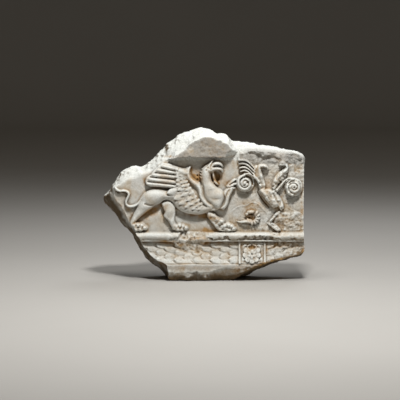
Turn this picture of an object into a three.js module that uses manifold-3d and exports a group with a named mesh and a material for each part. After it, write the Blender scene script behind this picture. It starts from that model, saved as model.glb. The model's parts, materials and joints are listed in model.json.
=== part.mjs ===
// A fragment broken from a carved marble frieze. A griffin strides to the right and lays a raised paw on a
// scroll volute; a second volute and an acanthus sheath follow. Above is what is left of a projecting crown
// fascia, and below are a ledge, a sloping band of overlapping leaves held by a rosette clasp, a fillet and a
// broken plinth. The stone is one piece. It is modelled in millimetres in the carver's frame: x runs along the
// frieze to the right, y is up and z is the rise of the carving from the field towards the viewer. The last
// lines stand it up: +X along the frieze, +Y into the stone, +Z up, with the origin under the middle of the
// stone where it stands.
import * as THREE from "three";
import { ConvexGeometry } from "three/addons/geometries/ConvexGeometry.js";
import { mergeVertices } from "three/addons/utils/BufferGeometryUtils.js";
import Module from "manifold-3d";

const wasm = await Module();
wasm.setup();
const { Manifold, Mesh: ManifoldMesh } = wasm;

// ---------------------------------------------------------------- driving sizes

const stone = { width: 894, height: 685, thickness: 225, crownRise: 50 };
const backFace = stone.crownRise - stone.thickness; // rise of the flat back, behind the field
const fieldTop = 555; // underside of the crown fascia
const ledge = { top: 217, bottom: 185, rise: 40 };
const ledgeFillet = { bottom: 176, rise: 27 };
const band = { top: 172, bottom: 80, topRise: 3, bottomRise: 38 };
const plinth = { top: 76, rise: 46 };
const bandLeaf = { length: 62, width: 36, rise: 9, pitch: 80, rows: 4 };
const clasp = { x: 215, width: 121, height: 92, rise: 10, border: 9 };
const rosette = { radius: 43, petals: 10, innerRadius: 21, buttonRadius: 8 };
const wingFeather = { length: 36, width: 24, rise: 8, pitch: 25, rowGap: 19 };
const volute = { outer: 40, inner: 7, stem: 6.5, turns: 1.75, rise: 15 };

// ---------------------------------------------------------------- shaping tools

const turned = (degrees) => THREE.MathUtils.degToRad(degrees);
const sunk = 5; // how far carved members are rooted below the field
const spread = (count, make) => Array.from({ length: count }, (_, i) => make(i));

// A closed three.js geometry as a solid that can be joined and cut.
function solidOf(geometry) {
  const loose = geometry.index ? geometry.toNonIndexed() : geometry.clone();
  for (const name of Object.keys(loose.attributes)) {
    if (name !== "position") loose.deleteAttribute(name);
  }
  const merged = mergeVertices(loose, 1e-4);
  return new Manifold(
    new ManifoldMesh({
      numProp: 3,
      vertProperties: merged.attributes.position.array,
      triVerts: new Uint32Array(merged.index.array),
    }),
  );
}

// A rounded swelling: an ellipsoid of which the front half stands out. turn is anticlockwise, in degrees.
function moundGeometry({ x = 0, y = 0, wide, high, rise, base = 0, turn = 0, sides = 12 }) {
  const ball = new THREE.SphereGeometry(1, sides, Math.max(4, Math.round(sides * 0.6)));
  ball.rotateX(Math.PI / 2); // poles to the front and back
  ball.scale(wide, high, rise);
  ball.rotateZ(turned(turn));
  ball.translate(x, y, base);
  return ball;
}

const mound = (sizes) => solidOf(moundGeometry(sizes));

// A tapering rounded member along stations [x, y, rise of its axis, radius]. deep is its depth over its width.
// Its front is round and its back is sunk in the field, so nothing is undercut.
function limb(stations, { sides = 8, steps = 8, deep = 1 } = {}) {
  const axis = new THREE.CatmullRomCurve3(
    stations.map(([x, y, rise]) => new THREE.Vector3(x, y, rise)),
    false,
    "centripetal",
  );
  const radius = new THREE.CatmullRomCurve3(
    stations.map((station) => new THREE.Vector3(station[3], 0, 0)),
    false,
    "centripetal",
  );
  const front = new THREE.Vector3(0, 0, 1);
  const tube = new THREE.CylinderGeometry(1, 1, 1, sides, steps);
  const points = tube.attributes.position;
  for (let i = 0; i < points.count; i++) {
    const along = points.getY(i) + 0.5;
    const centre = axis.getPoint(along);
    const side = axis.getTangent(along).cross(front).normalize();
    const reach = Math.max(0.5, radius.getPoint(along).x);
    centre.addScaledVector(side, points.getX(i) * reach);
    const behind = points.getZ(i) < -0.01;
    const rise = behind ? -sunk : Math.max(centre.z, 0) + points.getZ(i) * reach * deep;
    points.setXYZ(i, centre.x, centre.y, rise);
  }
  return solidOf(tube);
}

// A pointed leaf or feather from its root at the origin to its tip at +x, ridged along the middle. The tip
// stands proud and the root is sunk, so that a row of them overlaps like tiles.
function leafGeometry({ length, width, rise }) {
  const half = width / 2;
  const outline = [
    [0, 0.6],
    [0.35, 1],
    [0.75, 0.75],
    [1, 0],
  ];
  const edge = outline.flatMap(([along, across]) => [
    new THREE.Vector3(along * length, across * half, along * rise * 0.5),
    new THREE.Vector3(along * length, -across * half, along * rise * 0.5),
  ]);
  const ridge = [
    new THREE.Vector3(0.1 * length, 0, rise * 0.3),
    new THREE.Vector3(0.8 * length, 0, rise),
  ];
  const root = [0.2, 0.8].map((along) => new THREE.Vector3(along * length, 0, -1.5 * rise));
  return new ConvexGeometry([...edge, ...ridge, ...root]);
}

function leaf({ x, y, base, turn, length, width, rise }) {
  const made = leafGeometry({ length, width, rise });
  made.rotateZ(turned(turn));
  made.translate(x, y, base);
  return solidOf(made);
}

// Stations of a volute's stem. It winds inwards; way is 1 for anticlockwise and -1 for clockwise.
function windIn({ x, y, startAngle, way, steps = 30 }) {
  const { outer, inner, stem, turns, rise } = volute;
  return spread(steps + 1, (i) => {
    const wound = i / steps;
    const reach = inner + (outer - inner) * (1 - wound) ** 0.9;
    const angle = turned(startAngle) + way * wound * turns * 2 * Math.PI;
    const proud = rise + 4 * Math.sin(Math.PI * wound);
    return [x + reach * Math.cos(angle), y + reach * Math.sin(angle), proud, stem * (1 - 0.35 * wound)];
  });
}

const join = (solids) => solids.reduce((whole, solid) => whole.add(solid));

// ---------------------------------------------------------------- the block and its mouldings

// The front view of the stone: broken all round but for the jointed right end.
const outline = [
  [-447, 364], [-428, 395], [-397, 432], [-378, 469], [-348, 503], [-317, 517], [-286, 509], [-224, 540],
  [-169, 605], [-132, 636], [-89, 651], [-51, 673], [-11, 685], [54, 666], [97, 654], [127, 626],
  [238, 614], [313, 602], [374, 593], [418, 577], [447, 545], [447, 126], [387, 105], [275, 68],
  [202, 34], [140, 0], [-155, 0], [-166, 31], [-206, 50], [-249, 81], [-286, 136], [-310, 185],
  [-342, 234], [-378, 272], [-409, 315], [-437, 342],
];

function slabByOutline() {
  const front = new THREE.Shape(outline.map(([x, y]) => new THREE.Vector2(x, y)));
  const slab = new THREE.ExtrudeGeometry(front, { depth: stone.thickness, bevelEnabled: false });
  slab.translate(0, 0, backFace);
  return solidOf(slab);
}

// The section of the frieze from plinth to crown, run along its length. Its x is the rise, its y the height.
function runMouldings() {
  const section = new THREE.Shape();
  section.moveTo(backFace - 10, -10);
  section.lineTo(plinth.rise, -10);
  section.lineTo(plinth.rise, plinth.top);
  section.lineTo(band.bottomRise - 4, plinth.top);
  section.lineTo(band.bottomRise, band.bottom);
  section.quadraticCurveTo(12, 120, band.topRise, band.top);
  section.lineTo(band.topRise, ledgeFillet.bottom);
  section.lineTo(ledgeFillet.rise, ledgeFillet.bottom);
  section.lineTo(ledgeFillet.rise, ledge.bottom);
  const roll = (ledge.top - ledge.bottom) / 2;
  section.lineTo(ledge.rise - roll, ledge.bottom);
  section.absarc(ledge.rise - roll, ledge.bottom + roll, roll, -Math.PI / 2, Math.PI / 2, false);
  section.lineTo(0, ledge.top);
  section.lineTo(0, fieldTop);
  section.lineTo(stone.crownRise, fieldTop);
  section.lineTo(stone.crownRise, stone.height + 10);
  section.lineTo(backFace - 10, stone.height + 10);
  section.closePath();
  const run = new THREE.ExtrudeGeometry(section, {
    depth: stone.width + 20,
    bevelEnabled: false,
    curveSegments: 4,
  });
  // section x to the rise, section y up, and the run towards -x
  const up = new THREE.Vector3(0, 1, 0);
  const rise = new THREE.Vector3(0, 0, 1);
  const along = new THREE.Vector3(-1, 0, 0);
  run.applyMatrix4(new THREE.Matrix4().makeBasis(rise, up, along));
  run.translate(stone.width / 2 + 10, 0, 0);
  return solidOf(run);
}

// Carries a geometry from flat on the field to the sloping face of the leaf band, with its origin at
// (x, height).
function ontoBand(geometry, x, height) {
  const slope = Math.atan2(band.bottomRise - band.topRise, band.top - band.bottom);
  const share = (band.top - height) / (band.top - band.bottom);
  const hollow = 7 * Math.sin(Math.PI * share); // the band is slightly concave
  geometry.rotateX(-slope);
  geometry.translate(x, height, band.topRise + share * (band.bottomRise - band.topRise) - hollow);
  return geometry;
}

// Rows of overlapping leaves whose tips point away from the clasp on both sides.
function bandLeaves() {
  const { length, width, rise, pitch, rows } = bandLeaf;
  const rowGap = (band.top - band.bottom) / rows;
  const reach = Math.ceil(stone.width / pitch);
  const leaves = [];
  for (let row = 0; row < rows; row++) {
    for (let i = 0; i < reach; i++) {
      for (const way of [-1, 1]) {
        const x = clasp.x + way * (clasp.width / 2 - length + 12 + (i + (row % 2) / 2) * pitch);
        if (Math.abs(x + way * length) > stone.width / 2 + length) continue;
        const made = leafGeometry({ length, width, rise });
        made.rotateZ(way > 0 ? 0 : Math.PI);
        leaves.push(solidOf(ontoBand(made, x, band.top - (row + 0.5) * rowGap)));
      }
    }
  }
  return leaves;
}

// The strap that binds the band: a plate with raised borders and a rosette with two rings of petals.
function roseClasp() {
  const { x, width, height, rise, border } = clasp;
  const middle = (band.top + band.bottom) / 2;
  const pieces = [];
  const plate = new THREE.BoxGeometry(width, height, 2 * rise + 16);
  plate.translate(0, 0, -8);
  pieces.push(plate);
  for (const side of [-1, 1]) {
    const strip = new THREE.BoxGeometry(border, height, 2 * rise);
    strip.translate((side * (width - border)) / 2, 0, 5);
    pieces.push(strip);
  }
  for (const [count, radius, petalRise] of [
    [rosette.petals, rosette.radius, 10],
    [rosette.petals / 2, rosette.innerRadius, 16],
  ]) {
    for (let i = 0; i < count; i++) {
      const petal = moundGeometry({
        x: radius * 0.6, wide: radius * 0.42, high: (radius * 2.6) / count, rise: petalRise, base: rise,
        sides: 6,
      });
      petal.rotateZ(((i + 0.5) / count) * 2 * Math.PI);
      pieces.push(petal);
    }
  }
  const button = new THREE.SphereGeometry(rosette.buttonRadius, 10, 6);
  button.translate(0, 0, rise + 13);
  pieces.push(button);
  return pieces.map((piece) => solidOf(ontoBand(piece, x, middle)));
}

// ---------------------------------------------------------------- the griffin

const wingOutline = [
  [-121, 509], [-80, 498], [-58, 513], [-64, 482], [-53, 457], [-22, 441], [-8, 410], [1, 378],
  [23, 351], [46, 333], [28, 315], [-26, 309], [-62, 318], [-98, 338], [-125, 358], [-152, 378],
  [-170, 396], [-157, 410], [-130, 414], [-122, 430], [-120, 470],
];

// True where (x, y) is inside the wing by at least margin.
function onWing(x, y, margin) {
  let inside = false;
  let nearest = Infinity;
  wingOutline.forEach(([ax, ay], i) => {
    const [bx, by] = wingOutline[(i + 1) % wingOutline.length];
    if (ay > y !== by > y && x < ax + ((bx - ax) * (y - ay)) / (by - ay)) inside = !inside;
    const edge = new THREE.Line3(new THREE.Vector3(ax, ay, 0), new THREE.Vector3(bx, by, 0));
    const here = new THREE.Vector3(x, y, 0);
    nearest = Math.min(nearest, edge.closestPointToPoint(here, true, new THREE.Vector3()).distanceTo(here));
  });
  return inside && nearest >= margin;
}

function wing() {
  const shape = new THREE.Shape();
  shape.setFromPoints(wingOutline.map(([x, y]) => new THREE.Vector2(x, y)));
  const plate = new THREE.ExtrudeGeometry(shape, {
    depth: 22,
    bevelThickness: 7,
    bevelSize: 6,
    bevelOffset: -6,
    bevelSegments: 1,
  });
  const pieces = [solidOf(plate)];

  // five long flight feathers, fanned back over the haunch
  const flight = { count: 5, tips: [[-188, 513], [-262, 437]], roots: [[-112, 501], [-112, 421]] };
  const between = ([from, to], share) => [0, 1].map((k) => from[k] + (to[k] - from[k]) * share);
  for (let i = 0; i < flight.count; i++) {
    const share = i / (flight.count - 1);
    const [tipX, tipY] = between(flight.tips, share);
    const [rootX, rootY] = between(flight.roots, share);
    const midX = (tipX + rootX) / 2;
    const midY = (tipY + rootY) / 2 + 2;
    const stations = [[tipX, tipY, 10, 5], [tipX + 16, tipY, 14, 9.5], [midX, midY, 15, 10],
      [rootX, rootY, 16, 9.5]];
    pieces.push(limb(stations, { sides: 6, steps: 5, deep: 1.1 }));
  }

  // the smooth leading edge, from the curled tip down to the shoulder
  pieces.push(limb([[-64, 508, 14, 5], [-72, 478, 22, 9], [-56, 452, 24, 10], [-22, 432, 25, 10],
    [-12, 400, 26, 9], [6, 366, 26, 9], [34, 338, 24, 8]], { sides: 6, steps: 12 }));

  // staggered covert feathers, larger towards the belly, lying back along the wing
  const { length, width, rise, pitch, rowGap } = wingFeather;
  for (let row = 0; row < 12; row++) {
    for (let column = 0; column < 10; column++) {
      const x = -160 + (column + (row % 2) / 2) * pitch;
      const y = 318 + row * rowGap;
      if (!onWing(x, y, 13)) continue;
      const size = THREE.MathUtils.mapLinear(x + y, 150, 440, 1.15, 0.72);
      const turn = THREE.MathUtils.mapLinear(x, -160, 20, 186, 232);
      pieces.push(leaf({
        x: x + 8, y: y + 4, base: 29, turn, length: length * size, width: width * size, rise: rise * size,
      }));
    }
  }
  return pieces;
}

function headAndNeck() {
  return [
    limb([[36, 396, 6, 40], [22, 440, 10, 27], [14, 474, 12, 22], [20, 502, 12, 21]], { steps: 7 }),
    mound({ x: 28, y: 507, wide: 27, high: 20, rise: 36, sides: 12 }),
    limb([[26, 497, 20, 10], [50, 506, 24, 11], [70, 504, 22, 9], [82, 497, 18, 6], [82, 484, 14, 3]],
      { steps: 6 }), // upper beak
    limb([[24, 452, 14, 11], [42, 446, 16, 8], [54, 456, 16, 6], [56, 468, 14, 3]],
      { sides: 6, steps: 4 }), // lower beak
    limb([[28, 462, 8, 6], [42, 468, 12, 5], [46, 480, 10, 2]], { sides: 6, steps: 4 }), // tongue
    limb([[30, 516, 20, 7], [56, 531, 24, 8], [82, 522, 14, 4]], { sides: 6, steps: 5 }), // brow crest
    limb([[6, 494, 18, 9], [22, 515, 20, 8], [42, 540, 14, 3]], { sides: 6, steps: 5 }), // pricked ear
    ...spread(4, (i) => // saw-toothed crest down the nape
      leaf({ x: 4 - i, y: 488 - i * 17, base: 12, turn: 172 + i * 6, length: 20, width: 15, rise: 8 })),
  ];
}

// A lion's paw: a pad with four toes fanned round its front and lower side.
function paw({ x, y, turn, size, rise }) {
  const toes = [-62, -24, 10, 44].map((fan) => {
    const way = turned(turn + fan);
    return mound({
      x: x + 0.8 * size * Math.cos(way),
      y: y + 0.5 * size * Math.sin(way),
      wide: 0.34 * size,
      high: 0.25 * size,
      rise: rise * 0.9,
      turn: turn + fan / 2,
      sides: 6,
    });
  });
  return [mound({ x, y, wide: 0.8 * size, high: 0.52 * size, rise, turn, sides: 8 }), ...toes];
}

function griffin() {
  return [
    limb([[-214, 380, 0, 34], [-160, 384, 0, 34], [-90, 374, 0, 52], [-20, 366, 0, 64], [40, 374, 0, 52]],
      { sides: 10, steps: 6, deep: 0.5 }), // barrel of the body
    mound({ x: -224, y: 375, wide: 56, high: 38, rise: 34, turn: 18, sides: 13 }), // haunch
    mound({ x: 40, y: 384, wide: 45, high: 62, rise: 44, sides: 13 }), // breast
    limb([[-228, 374, 4, 30], [-252, 346, 5, 32], [-280, 314, 5, 23], [-304, 286, 4, 16], [-320, 254, 4, 12]],
      { sides: 8, steps: 7 }), // near hind leg
    ...paw({ x: -304, y: 241, turn: -4, size: 31, rise: 24 }), // near hind
    limb([[-150, 356, 0, 28], [-154, 322, 0, 23], [-150, 284, 0, 15], [-136, 248, 0, 11]],
      { steps: 6, deep: 0.8 }),
    ...paw({ x: -116, y: 238, turn: -4, size: 30, rise: 18 }), // far hind
    limb([[40, 328, 10, 20], [46, 298, 4, 14], [58, 268, 2, 12], [74, 246, 2, 11]], { steps: 6 }),
    ...paw({ x: 99, y: 238, turn: -6, size: 32, rise: 22 }), // standing fore
    limb([[74, 334, 6, 13], [90, 338, 6, 12], [102, 362, 6, 13], [112, 392, 8, 14], [116, 412, 10, 13]],
      { sides: 8, steps: 8 }), // raised foreleg, from the elbow up
    ...paw({ x: 118, y: 424, turn: 34, size: 28, rise: 20 }),
    limb([[-262, 386, 4, 9], [-280, 364, 6, 7], [-297, 345, 6, 6.5], [-316, 336, 6, 6.5], [-335, 334, 6, 6.5],
      [-345, 344, 6, 6], [-344, 356, 6, 6], [-336, 372, 6, 6], [-330, 386, 6, 6], [-335, 400, 6, 6],
      [-350, 405, 6, 6], [-368, 404, 6, 7], [-384, 402, 5, 9], [-396, 412, 4, 3]],
      { sides: 6, steps: 20 }), // tail
    ...headAndNeck(),
    ...wing(),
  ];
}

// ---------------------------------------------------------------- scrolls, sheath and flower

function scrolls() {
  const left = { x: 185, y: 439 };
  const right = { x: 401, y: 418 };
  const drum = ({ x, y }) => {
    const disc = new THREE.CylinderGeometry(34, 42, 20, 16);
    disc.rotateX(Math.PI / 2);
    disc.translate(x, y, 0);
    return solidOf(disc);
  };
  const stemOptions = { sides: 6, steps: 30, deep: 1.2 };
  return [
    drum(left),
    drum(right),
    limb([[270, 376, 8, 9], [256, 404, 13, 8], [246, 440, 16, 7.5], [222, 474, 16, 7],
      ...windIn({ ...left, startAngle: 90, way: 1 })], stemOptions),
    limb([[318, 388, 8, 9], [338, 420, 12, 8], [362, 448, 15, 7.5],
      ...windIn({ ...right, startAngle: 100, way: -1 })], stemOptions),
    // three curled lobes of the leaf that crowns the left volute
    ...[
      [[158, 541], [188, 535], [222, 508]],
      [[160, 520], [190, 520], [226, 490]],
      [[162, 499], [192, 503], [226, 474]],
    ].map(([tip, top, root], i) =>
      limb([[...tip, 14, 4], [...top, 20, 8], [...root, 20 - i, 9]], { sides: 6, steps: 5 })),
    limb([[250, 420, 12, 13], [246, 458, 14, 13], [240, 492, 16, 9], [254, 512, 20, 8], [284, 510, 18, 5]],
      { steps: 8 }),
    limb([[312, 420, 10, 12], [330, 455, 14, 14], [358, 486, 14, 12], [372, 510, 16, 8], [356, 528, 18, 8],
      [334, 524, 14, 4]], { steps: 9 }),
    // the acanthus sheath that both stems spring from, in three flutes
    ...[-1, 0, 1].map((flute) =>
      limb([[268 + 15 * flute, 402 + 4 * flute, 8, 10], [286 + 15 * flute, 366 + 5 * flute, 12, 14],
        [312 + 13 * flute, 330 + 5 * flute, 12, 13], [330 + 11 * flute, 312 + 5 * flute, 8, 9]],
        { steps: 5 })),
  ];
}

// What is left below the sheath: a bud on a curled petal, two stumps of the stalk and a rough scar.
function budAndStumps() {
  const petal = spread(9, (i) => {
    const angle = turned(64 - i * 30);
    return [219 + 25 * Math.cos(angle), 279 + 22 * Math.sin(angle), 8, 5 + 4 * Math.sin((Math.PI * i) / 8)];
  });
  return [
    limb(petal, { sides: 6, steps: 10 }),
    limb([[206, 262, 8, 8], [176, 264, 6, 7], [146, 267, 2, 2]], { sides: 6, steps: 3 }),
    mound({ x: 210, y: 308, wide: 17, high: 9, rise: 18, sides: 8 }),
    limb([[322, 304, 3, 8], [306, 284, 4, 10], [290, 262, 3, 7]], { sides: 6, steps: 3 }),
    limb([[288, 262, 2, 7], [312, 242, 4, 11], [338, 224, 4, 8]], { sides: 6, steps: 3 }),
    mound({ x: 396, y: 270, wide: 56, high: 42, rise: 10, turn: -10, sides: 9 }),
  ];
}

// ---------------------------------------------------------------- the breaks

// Everything on the outer side of the plane through three points [x, y, rise], between two x limits.
function beyond(points, [fromX, toX] = [-stone.width, stone.width]) {
  const [a, b, c] = points.map((p) => new THREE.Vector3(...p));
  const normal = b.clone().sub(a).cross(c.clone().sub(a)).normalize();
  const heart = new THREE.Vector3(0, stone.height / 2, backFace / 2);
  if (normal.dot(heart.sub(a)) > 0) normal.negate();
  const size = 2 * stone.width;
  const half = new THREE.BoxGeometry(size, size, size);
  half.translate(0, 0, size / 2);
  half.applyQuaternion(new THREE.Quaternion().setFromUnitVectors(new THREE.Vector3(0, 0, 1), normal));
  half.translate(a.x, a.y, a.z);
  const slab = new THREE.BoxGeometry(toX - fromX, size, size);
  slab.translate((fromX + toX) / 2, 0, 0);
  return solidOf(half).intersect(solidOf(slab));
}

// A shallow bite out of the face.
const bite = (x, y, rise, wide, high, deep, turn = 0) =>
  mound({ x, y, wide, high, rise: deep, base: rise, turn, sides: 9 });

function breaks() {
  const crown = stone.crownRise;
  return [
    // lower left flank, flaring towards the back
    beyond([[-422, 407, 0], [-330, 240, 0], [-392, 262, backFace]], [-460, -250]),
    beyond([[-305, 210, 30], [-224, 111, 40], [-288, 118, backFace]], [-460, -150]),
    beyond([[-224, 111, 40], [-166, 62, 45], [-206, 34, backFace]], [-300, -150]),
    // upper left: the long break from the tail up to the crown
    beyond([[-385, 426, 0], [-262, 469, 0], [-262, 530, backFace]], [-460, -262]),
    beyond([[-262, 469, 0], [-157, 541, crown], [-157, 620, backFace]], [-262, -157]),
    beyond([[-157, 541, crown], [-157, 620, backFace], [-36, 620, crown]], [-157, -36]),
    beyond([[-36, 620, crown], [-36, 699, backFace], [90, 624, crown]], [-36, 90]),
    // right of the crown stump the fascia has burst off down to the field
    beyond([[104, 614, crown], [150, 560, crown], [166, 600, -40]], [90, 160]),
    beyond([[140, 558, 4], [449, 540, 2], [250, 610, -62]], [140, 460]),
    beyond([[128, 622, -62], [440, 562, -62], [238, 618, backFace]], [128, 460]),
    // lower right edge and the plinth
    beyond([[447, 132, 30], [194, 42, 46], [320, 74, backFace]], [194, 460]),
    beyond([[194, 42, 46], [194, 29, backFace], [140, 4, 40]], [138, 194]),
    beyond([[-160, 44, 46], [150, 36, 46], [0, 0, 8]]),
    // spalls along the ledge and the band
    bite(-52, 196, 44, 66, 36, 26, 8),
    bite(-2, 158, 34, 40, 26, 18, -12),
    bite(280, 190, 47, 100, 13, 16, -2),
    bite(90, 192, 48, 52, 12, 13, 4),
    bite(-226, 192, 48, 60, 10, 12, -4),
    bite(432, 206, 46, 34, 22, 18, 20),
    bite(48, 466, 20, 13, 15, 24), // the drilled hollow between the beaks
  ];
}

// ---------------------------------------------------------------- the piece

function geometryOf(solid) {
  const made = solid.getMesh();
  const geometry = new THREE.BufferGeometry();
  geometry.setAttribute("position", new THREE.BufferAttribute(Float32Array.from(made.vertProperties), 3));
  geometry.setIndex(new THREE.BufferAttribute(Uint32Array.from(made.triVerts), 1));
  geometry.computeVertexNormals();
  return geometry;
}

const relief = join([...bandLeaves(), ...roseClasp(), ...griffin(), ...scrolls(), ...budAndStumps()]);
const silhouette = slabByOutline();
const carved = join([runMouldings(), relief]).intersect(silhouette).subtract(join(breaks()));

const marble = new THREE.MeshStandardMaterial({ color: 0xb9b5ab, roughness: 0.82, metalness: 0 });
const fragment = new THREE.Mesh(geometryOf(carved), marble);
fragment.name = "griffin_frieze_fragment";
fragment.rotation.x = Math.PI / 2; // the carver's y becomes up, and the rise comes towards -Y
fragment.position.y = stone.crownRise - stone.thickness / 2;

const group = new THREE.Group();
group.add(fragment);
export default group;
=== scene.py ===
import bpy
import bmesh
import json
import math
import numpy as np
from mathutils import Matrix, Vector
from mathutils.bvhtree import BVHTree
from mathutils.kdtree import KDTree

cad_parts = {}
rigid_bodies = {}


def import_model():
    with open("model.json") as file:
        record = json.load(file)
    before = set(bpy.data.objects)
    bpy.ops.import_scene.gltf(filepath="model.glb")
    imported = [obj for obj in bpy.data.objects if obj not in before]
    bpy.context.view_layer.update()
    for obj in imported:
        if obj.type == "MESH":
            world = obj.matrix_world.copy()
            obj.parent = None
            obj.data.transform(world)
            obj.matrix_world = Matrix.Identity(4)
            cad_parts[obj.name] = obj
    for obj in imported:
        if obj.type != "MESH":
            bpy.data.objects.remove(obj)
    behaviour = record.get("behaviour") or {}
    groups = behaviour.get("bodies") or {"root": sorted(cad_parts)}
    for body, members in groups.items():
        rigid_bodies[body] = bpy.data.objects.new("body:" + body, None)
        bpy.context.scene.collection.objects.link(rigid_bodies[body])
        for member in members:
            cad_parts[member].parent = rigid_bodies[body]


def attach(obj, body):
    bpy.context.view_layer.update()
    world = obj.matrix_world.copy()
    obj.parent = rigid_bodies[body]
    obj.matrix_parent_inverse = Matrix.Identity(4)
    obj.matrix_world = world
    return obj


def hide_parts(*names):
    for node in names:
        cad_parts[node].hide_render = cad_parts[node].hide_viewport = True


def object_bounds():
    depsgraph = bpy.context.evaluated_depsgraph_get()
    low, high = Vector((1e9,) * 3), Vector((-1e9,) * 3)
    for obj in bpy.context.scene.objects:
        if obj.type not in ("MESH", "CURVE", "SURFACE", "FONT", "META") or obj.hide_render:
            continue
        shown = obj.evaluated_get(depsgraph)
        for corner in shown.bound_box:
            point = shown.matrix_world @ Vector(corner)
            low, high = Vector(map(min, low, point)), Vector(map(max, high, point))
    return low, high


# A broken block of a carved marble frieze, built as one skin of stone.
# Carving is worked out on a front-view grid in millimetres: x to the right, z up, "rise" to the viewer.
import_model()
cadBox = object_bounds()
mm = 0.001
fieldPlane = float(cadBox[0][1]) + 50 * mm  # y of the carved field: the crown stands 50 mm in front of it

grid = {"cell": 1.5, "left": -462.0, "right": 462.0, "low": -12.0, "high": 702.0}
xLine = np.arange(grid["left"], grid["right"] + 0.1, grid["cell"])
zLine = np.arange(grid["low"], grid["high"] + 0.1, grid["cell"])
gx, gz = np.meshgrid(xLine, zLine)


# number tools

def smoothMax(a, b, k):
    t = np.clip(0.5 + 0.5 * (a - b) / k, 0, 1)
    return b + (a - b) * t + k * t * (1 - t)


def smoothStep(low, high, v):
    t = np.clip((v - low) / (high - low), 0, 1)
    return t * t * (3 - 2 * t)


def scramble(ix, iy, iz, seed):
    n = (ix * 374761393 + iy * 668265263 + iz * 1274126177 + seed * 974634777) & 0xFFFFFFFF
    n = ((n ^ (n >> 13)) * 1103515245) & 0xFFFFFFFF
    n = ((n ^ (n >> 15)) * 2246822519) & 0xFFFFFFFF
    return ((n ^ (n >> 16)) & 0xFFFFFF) / 8388607.5 - 1.0


def grain(x, y, z, size, seed):  # smooth lattice noise from -1 to 1, its lumps about "size" across
    px, py, pz = x / size + 31.7, y / size + 17.3, z / size + 5.9
    ix, iy, iz = (np.floor(p).astype(np.int64) for p in (px, py, pz))
    fx, fy, fz = px - ix, py - iy, pz - iz
    fx, fy, fz = (f * f * (3 - 2 * f) for f in (fx, fy, fz))
    total = 0
    for dx in (0, 1):
        for dy in (0, 1):
            for dz in (0, 1):
                w = (fx if dx else 1 - fx) * (fy if dy else 1 - fy) * (fz if dz else 1 - fz)
                total = total + w * scramble(ix + dx, iy + dy, iz + dz, seed)
    return total


def layered(x, y, z, size, seed, octaves, fade=0.5):  # noise with finer noise on top
    total, strength = 0, 1.0
    for i in range(octaves):
        total = total + strength * grain(x, y, z, size / 2 ** i, seed + i)
        strength *= fade
    return total


def blurred(a, radius):  # gaussian-like blur: three box passes each way
    cells = max(1, int(round(radius / grid["cell"])))
    for axis in (0, 1):
        for _ in range(3):
            border = [(0, 0), (0, 0)]
            border[axis] = (cells + 1, cells)
            run = np.cumsum(np.pad(a, border, mode="edge"), axis=axis)
            n = a.shape[axis]
            upper = np.take(run, np.arange(2 * cells + 1, 2 * cells + 1 + n), axis=axis)
            lower = np.take(run, np.arange(0, n), axis=axis)
            a = (upper - lower) / (2 * cells + 1)
    return a


def through(points, per, closed=False):  # a smooth line through the given points, any number of values each
    p = np.array(points, float)
    n = len(p)
    rows = []
    for i in range(n if closed else n - 1):
        if closed:
            a, b, c, d = p[i - 1], p[i], p[(i + 1) % n], p[(i + 2) % n]
        else:
            a, b, c, d = p[max(i - 1, 0)], p[i], p[i + 1], p[min(i + 2, n - 1)]
        for t in np.arange(per) / per:
            rows.append(0.5 * (2 * b + (c - a) * t + (2 * a - 5 * b + 4 * c - d) * t * t
                               + (3 * b - 3 * c + d - a) * t ** 3))
    if not closed:
        rows.append(p[-1])
    return np.array(rows)


def windowOf(xLow, xHigh, zLow, zHigh):
    def cut(v, start, n):
        return int(np.clip((v - start) / grid["cell"], 0, n))
    return (slice(cut(zLow, grid["low"], len(zLine)), cut(zHigh, grid["low"], len(zLine)) + 1),
            slice(cut(xLow, grid["left"], len(xLine)), cut(xHigh, grid["left"], len(xLine)) + 1))


def inOval(x, z, middleX, middleZ, wide, high, turn):  # place in a turned oval, 1 at its edge
    c, s = math.cos(math.radians(turn)), math.sin(math.radians(turn))
    dx, dz = x - middleX, z - middleZ
    return (dx * c + dz * s) / wide, (dz * c - dx * s) / high


def blots(places, x, z):  # how strongly each point is touched by the soft oval places
    found = 0 * x
    for middleX, middleZ, wide, high, strength, turn in places:
        u, v = inOval(x, z, middleX, middleZ, wide, high, turn)
        found = np.maximum(found, strength * np.exp(-(u * u + v * v) ** 1.4))
    return found


def uneven(size, seed, octaves=3, fade=0.5, w=...):  # layered noise over the front, or over one window of it
    x, z = gx[w], gz[w]
    return layered(x, z, 0 * x, size, seed, octaves, fade)


# carving tools, all working on the height grid

field = np.zeros_like(gx)  # rise of the carved surface
outOfSight = -60.0  # a rise below anything that is carved


def strokeProfile(points, margin):  # a round bar swept along (x, z, rise, radius)
    line = through(points, 6)
    reach = line[:, 3].max() + margin
    w = windowOf(line[:, 0].min() - reach, line[:, 0].max() + reach,
                 line[:, 1].min() - reach, line[:, 1].max() + reach)
    x, z = gx[w], gz[w]
    best = np.full(x.shape, outOfSight)
    for a, b in zip(line[:-1], line[1:]):
        dx, dz = b[0] - a[0], b[1] - a[1]
        span = dx * dx + dz * dz + 1e-6
        t = np.clip(((x - a[0]) * dx + (z - a[1]) * dz) / span, 0, 1)
        d = np.hypot(x - a[0] - t * dx, z - a[1] - t * dz)
        r = np.maximum(a[3] + (b[3] - a[3]) * t, 0.3)
        top = a[2] + (b[2] - a[2]) * t
        q = d / r
        value = np.where(q < 1, top * np.sqrt(np.clip(1 - q * q, 0, 1)), -1.6 * (d - r))
        best = np.maximum(best, value)
    return w, best


def raise_(points, blend):  # joins a bar to the carving
    w, best = strokeProfile(points, 8)
    field[w] = smoothMax(field[w], best, blend)


def ridge(points):  # adds a bar on top of whatever is there
    w, best = strokeProfile(points, 2)
    field[w] += np.maximum(best, 0)


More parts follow.
